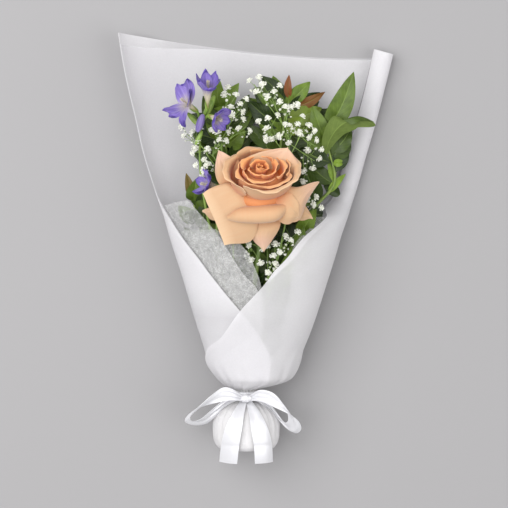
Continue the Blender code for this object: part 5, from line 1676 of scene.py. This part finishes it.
def filler_leaves(name, routes, draw):
    """Bases, tips and widths of a stem's low leaves, which turn to both sides in turn."""
    rows = []
    for stem, branch, first, last, count, length, wide, rise in FILLER_LEAVES:
        if stem != name:
            continue
        route = routes[branch]
        for k in range(count):
            spot = (first + (last - first) * k / (count - 1)) * (len(route) - 2)
            base = route[int(spot)]
            ahead = unit(route[int(spot) + 1] - base)
            angle = math.radians(draw.uniform(28, 68)) * (1 if k % 2 else -1)
            long = length * draw.uniform(0.85, 1.1)
            cos, sin = math.cos(angle), math.sin(angle)
            out = (ahead[0] * cos - ahead[1] * sin, ahead[0] * sin + ahead[1] * cos, 0)
            tip = base + long * np.array(out)
            tip[2] = base[2] + rise + draw.uniform(-4, 4)
            tip[1] = min(tip[1], FILLER_TOP)
            rows.append((base, kept_inside(tip), wide * draw.uniform(0.85, 1.12)))
    return rows


class BOUQUET_OT_leafy_stems(bpy.types.Operator):
    """Models the four leafy stems"""

    bl_idname = "bouquet.leafy_stems"
    bl_label = "Leafy stems"

    def execute(self, context):
        settings = context.scene.bouquet_leaf
        upper = leaf_face(settings, "waxy leaf face", False)
        under = leaf_face(settings, "matt leaf underside", True)
        bark = green_stem("leafy stem skin", linear("#4E6B24"), linear("#7E8F3E"), 0.5)
        for order, (name, points, branches, leaves, radius) in enumerate(LEAFY_STEMS):
            draw = random.Random(order)
            routes = [stepped(points, 50)]
            taper = np.interp(np.linspace(0, 1, 50), (0, 0.7, 1), (radius, radius, 0.4 * radius))
            runs = [(routes[0], taper)]
            for line in branches:
                routes.append(stepped(line, 24))
                runs.append((routes[-1], np.linspace(0.75, 0.4, 24) * radius))
            blades, folded = [], []
            for number, (branch, share, tip, wide, lean) in enumerate(leaves):
                base = routes[branch][round(share * (len(routes[branch]) - 1))]
                blade = sheet("leaf", *GRIDS["leaf"], leaf_place(base, tip, wide, lean, 100 * order + number))
                # Leaves higher in the bunch get a lighter tone and low ones a darker: painted light and shade
                # by height, over a random tone
                depth = (tip[2] - 10) / 40
                tone, red = LEAF_TINTS.get((name, number), (draw.uniform(0.05, 0.45) + 0.25 * depth, 0.0))
                _, along = grid_shares(*GRIDS["leaf"])
                blades.append(shaded(dressed(blade, upper, under), along, tone, red))
            for number, (base, tip, wide) in enumerate(filler_leaves(name, routes, draw)):
                place = leaf_place(base, tip, wide, 0, 100 * order + 50 + number)
                blade = dressed(sheet("leaf", *GRIDS["low leaf"], place), upper, under)
                # The low filler leaves get only the darkest tones: painted shade deep in the bunch
                blades.append(shaded(blade, 0.0, draw.uniform(0.0, 0.2), 0.0))
            if name == "right_leafy_stem":
                place = routed_leaf_place(FOLDED_LEAF, FOLDED_LEAF_WIDTH)
                blade = sheet("leaf", *GRIDS["folded leaf"], place)
                blade = shaded(dressed(blade, under, upper), 0.0, 0.25, 0.0)
                folded.append(thickened(blade, settings.thickness, 1))
            foliage = thickened(joined("foliage", blades), settings.thickness, 1)
            twigs = dressed(tubes("twigs", runs, 3), bark)
            made = joined(name + "_foliage", [foliage, twigs, *folded])
            handed_over(made, "leaf_green", name, angle=60)
        return {"FINISHED"}


# Gypsophila


def floret_petals():
    """One double floret about the origin, opening up, as a mesh of small paddles in a tuft."""
    draw = random.Random(2)
    parts = []
    for k in range(FLORET_PETALS):
        share = k / (FLORET_PETALS - 1)
        turn, rise = math.radians(FLORET_TURN * k), math.radians(82 - 78 * share)
        petal = added(bpy.ops.mesh.primitive_cube_add, "petal", size=1.0)
        box = corners_of(petal)
        length, wide = 2.9 * draw.uniform(0.9, 1.1), 2.1 * draw.uniform(0.85, 1.1)
        out = (box[:, 0] + 0.5) * length + 0.3
        across = box[:, 1] * wide * np.where(box[:, 0] > 0, 1.0, 0.3)
        thick = box[:, 2] * 0.24 - 0.12 * out * (1 - share)
        tilt = rise + draw.uniform(-0.2, 0.2)
        level = out * math.cos(tilt) - thick * math.sin(tilt)
        high = out * math.sin(tilt) + thick * math.cos(tilt)
        x = level * math.cos(turn) - across * math.sin(turn)
        y = level * math.sin(turn) + across * math.cos(turn)
        parts.append(reshaped(petal, np.stack([x, y, high], axis=1) * MM))
    heart = added(
        bpy.ops.mesh.primitive_ico_sphere_add, "heart",
        subdivisions=1, radius=FLORET_HEART * MM, location=(0, 0, 0.8 * MM))
    bpy.ops.object.transform_apply(location=True, rotation=True, scale=True)
    return joined("floret", [*parts, heart])


def floret_cup():
    """The small green cup under a floret, about the origin."""
    cup = added(
        bpy.ops.mesh.primitive_cone_add, "cup",
        vertices=6, radius1=0.35 * MM, radius2=1.15 * MM, depth=1.9 * MM, location=(0, 0, -0.5 * MM))
    bpy.ops.object.transform_apply(location=True, rotation=True, scale=True)
    return cup


def set_copies(pattern, places):
    """Copies of a small piece, each with its own mesh: at a place, along a direction, at a size."""
    copies = []
    corners = corners_of(pattern) / MM
    for number, (place, direction, size) in enumerate(places):
        copy = pattern.copy()
        copy.data = pattern.data.copy()
        bpy.context.scene.collection.objects.link(copy)
        axis = unit(direction)
        right = unit(np.cross((0.31, 0.95, 0.0), axis))
        right = turned_about(right[None], axis[None], HEAD_TURN * number)[0]
        turned = corners @ np.array((right, np.cross(axis, right), axis)) * size
        copies.append(reshaped(copy, set_down(turned + place)))
    bpy.data.objects.remove(pattern)
    return copies


def spray_layout(points, clusters, seed):
    """The runs of the stems, and place, direction and size of each floret and bud."""
    draw = random.Random(seed)
    route = stepped(points, 46)
    runs = [(route, np.interp(np.linspace(0, 1, 46), (0, 0.4, 1), (1.1, 1.0, 0.5)))]
    heads, buds = [], []
    for hub, florets in clusters:
        hub = np.array(hub, dtype=float)
        root = min(route[16:], key=lambda p: abs(np.linalg.norm(p - hub) - GYPS_BRANCH_LENGTH))
        bend = (root + hub) / 2 + np.array((draw.uniform(-2, 2), 0, 1.5))
        branch = stepped((root, bend, hub), 14)
        runs.append((branch, np.linspace(0.5, 0.3, 14)))
        for number, floret in enumerate(florets):
            head = np.array(floret, dtype=float)
            foot = branch[7 + int(6 * number / len(florets))]
            out = unit(head - foot)
            knee = (foot + head) / 2 + np.array((draw.uniform(-1, 1), draw.uniform(-1, 1), -0.8))
            runs.append((stepped((foot, knee, head - out * 1.2), 8), np.linspace(0.28, 0.22, 8)))
            heads.append((head, out + np.array((0, 0, 0.6)), draw.uniform(0.82, 1.08)))
            for _ in range(2):
                side = knee + np.array((draw.uniform(-6, 6), draw.uniform(-6, 6), draw.uniform(-2.5, 2.5)))
                runs.append((stepped((knee, (knee + side) / 2 + (0, 0, 0.5), side), 5), 0.18))
                buds.append((side, side - knee, draw.uniform(0.3, 0.62)))
    return runs, heads, buds


class BOUQUET_OT_gypsophila(bpy.types.Operator):
    """Models the two sprays of gypsophila"""

    bl_idname = "bouquet.gypsophila"
    bl_label = "Gypsophila"

    def execute(self, context):
        settings = context.scene.bouquet_gypsophila
        white = floret_white(settings)
        green = green_stem("gypsophila stem", tuple(settings.stem_colour), linear("#86A050"), 0.6)
        scale = settings.floret_size / MM / FLORET_DIAMETER
        for name, points, clusters, seed in GYPSOPHILA:
            runs, heads, buds = spray_layout(points, clusters, seed)
            stems = dressed(tubes("stems", runs, 1), green)
            heads = [(place, direction, size * scale) for place, direction, size in heads]
            florets = [dressed(copy, white) for copy in set_copies(floret_petals(), heads + buds)]
            cups = [dressed(copy, green) for copy in set_copies(floret_cup(), heads + buds)]
            made = joined(name + "_spray", [stems, *florets, *cups])
            handed_over(made, "gypsophila", name, angle=75)
        return {"FINISHED"}


# Hidden pieces, floor, light and camera


class BOUQUET_OT_hidden_pieces(bpy.types.Operator):
    """Gives the wet pad and the rubber band their finish"""

    bl_idname = "bouquet.hidden_pieces"
    bl_label = "Pad and rubber band"

    def execute(self, context):
        dressed(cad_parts["wet_pad"], wet_cotton())
        dressed(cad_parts["stem_binding"], rubber())
        return {"FINISHED"}


class BOUQUET_OT_stage(bpy.types.Operator):
    """Lays the floor and sets the lights and the camera"""

    bl_idname = "bouquet.stage"
    bl_label = "Floor, light and camera"

    def execute(self, context):
        settings = context.scene.bouquet_stage
        place = (0, 0, FLOOR_LEVEL)
        floor = added(bpy.ops.mesh.primitive_plane_add, "floor", size=FLOOR_SIZE, location=place)
        matt, _, _ = started("matt floor", tuple(settings.floor_colour), 0.9, Specular_IOR_Level=0.1)
        dressed(floor, matt)
        for name, (place, size, share) in LIGHTS.items():
            bpy.ops.object.light_add(type="AREA", location=place)
            lamp = bpy.context.object
            lamp.name = name
            lamp.data.size = size
            lamp.data.energy = share * settings.key_power
            away = np.array(place) / np.linalg.norm(place)
            lamp.rotation_euler = (math.acos(away[2]), 0, math.atan2(away[0], -away[1]))
        world = bpy.data.worlds.new("soft room")
        world.use_nodes = True
        sky = world.node_tree.nodes["Background"]
        sky.inputs["Color"].default_value = (*linear("#F4F3F4"), 1.0)
        sky.inputs["Strength"].default_value = ROOM_STRENGTH
        context.scene.world = world
        place = [c * MM for c in CAMERA_PLACE]
        bpy.ops.object.camera_add(location=place, rotation=(math.radians(CAMERA_LEAN), 0, 0))
        camera = bpy.context.object
        camera.data.lens = CAMERA_LENS
        camera.data.sensor_width = CAMERA_SENSOR
        context.scene.camera = camera
        context.scene.view_settings.view_transform = "Standard"
        return {"FINISHED"}


class BOUQUET_PT_panel(bpy.types.Panel):
    """Lists the bouquet's pieces and settings"""

    bl_idname = "BOUQUET_PT_panel"
    bl_label = "Mixed Flower Bouquet"
    bl_space_type = "VIEW_3D"
    bl_region_type = "UI"
    bl_category = "Bouquet"

    def draw(self, context):
        for operator in OPERATORS:
            self.layout.operator(operator.bl_idname)
        for name in SETTINGS:
            box = self.layout.box()
            group = getattr(context.scene, name)
            for key in type(group).__annotations__:
                box.prop(group, key)


OPERATORS = (
    BOUQUET_OT_stage,
    BOUQUET_OT_outer_wrap,
    BOUQUET_OT_inner_sheet,
    BOUQUET_OT_tissues,
    BOUQUET_OT_ribbon,
    BOUQUET_OT_rose,
    BOUQUET_OT_rose_stem,
    BOUQUET_OT_freesia,
    BOUQUET_OT_freesia_stem,
    BOUQUET_OT_leafy_stems,
    BOUQUET_OT_gypsophila,
    BOUQUET_OT_hidden_pieces,
)
SETTINGS = {
    "bouquet_paper": PaperSettings,
    "bouquet_ribbon": RibbonSettings,
    "bouquet_rose": RoseSettings,
    "bouquet_freesia": FreesiaSettings,
    "bouquet_leaf": LeafSettings,
    "bouquet_gypsophila": GypsophilaSettings,
    "bouquet_stage": StageSettings,
}


def register():
    for group in (*SETTINGS.values(), *OPERATORS, BOUQUET_PT_panel):
        bpy.utils.register_class(group)
    for name, group in SETTINGS.items():
        setattr(bpy.types.Scene, name, PointerProperty(type=group))


def unregister():
    for name in SETTINGS:
        delattr(bpy.types.Scene, name)
    for group in (BOUQUET_PT_panel, *reversed(OPERATORS), *reversed(SETTINGS.values())):
        bpy.utils.unregister_class(group)


def main():
    register()
    bpy.ops.bouquet.stage()
    bpy.ops.bouquet.outer_wrap()
    bpy.ops.bouquet.inner_sheet()
    bpy.ops.bouquet.tissues()
    bpy.ops.bouquet.ribbon()
    bpy.ops.bouquet.rose()
    bpy.ops.bouquet.rose_stem()
    bpy.ops.bouquet.freesia()
    bpy.ops.bouquet.freesia_stem()
    bpy.ops.bouquet.leafy_stems()
    bpy.ops.bouquet.gypsophila()
    bpy.ops.bouquet.hidden_pieces()


if __name__ == "__main__":
    main()
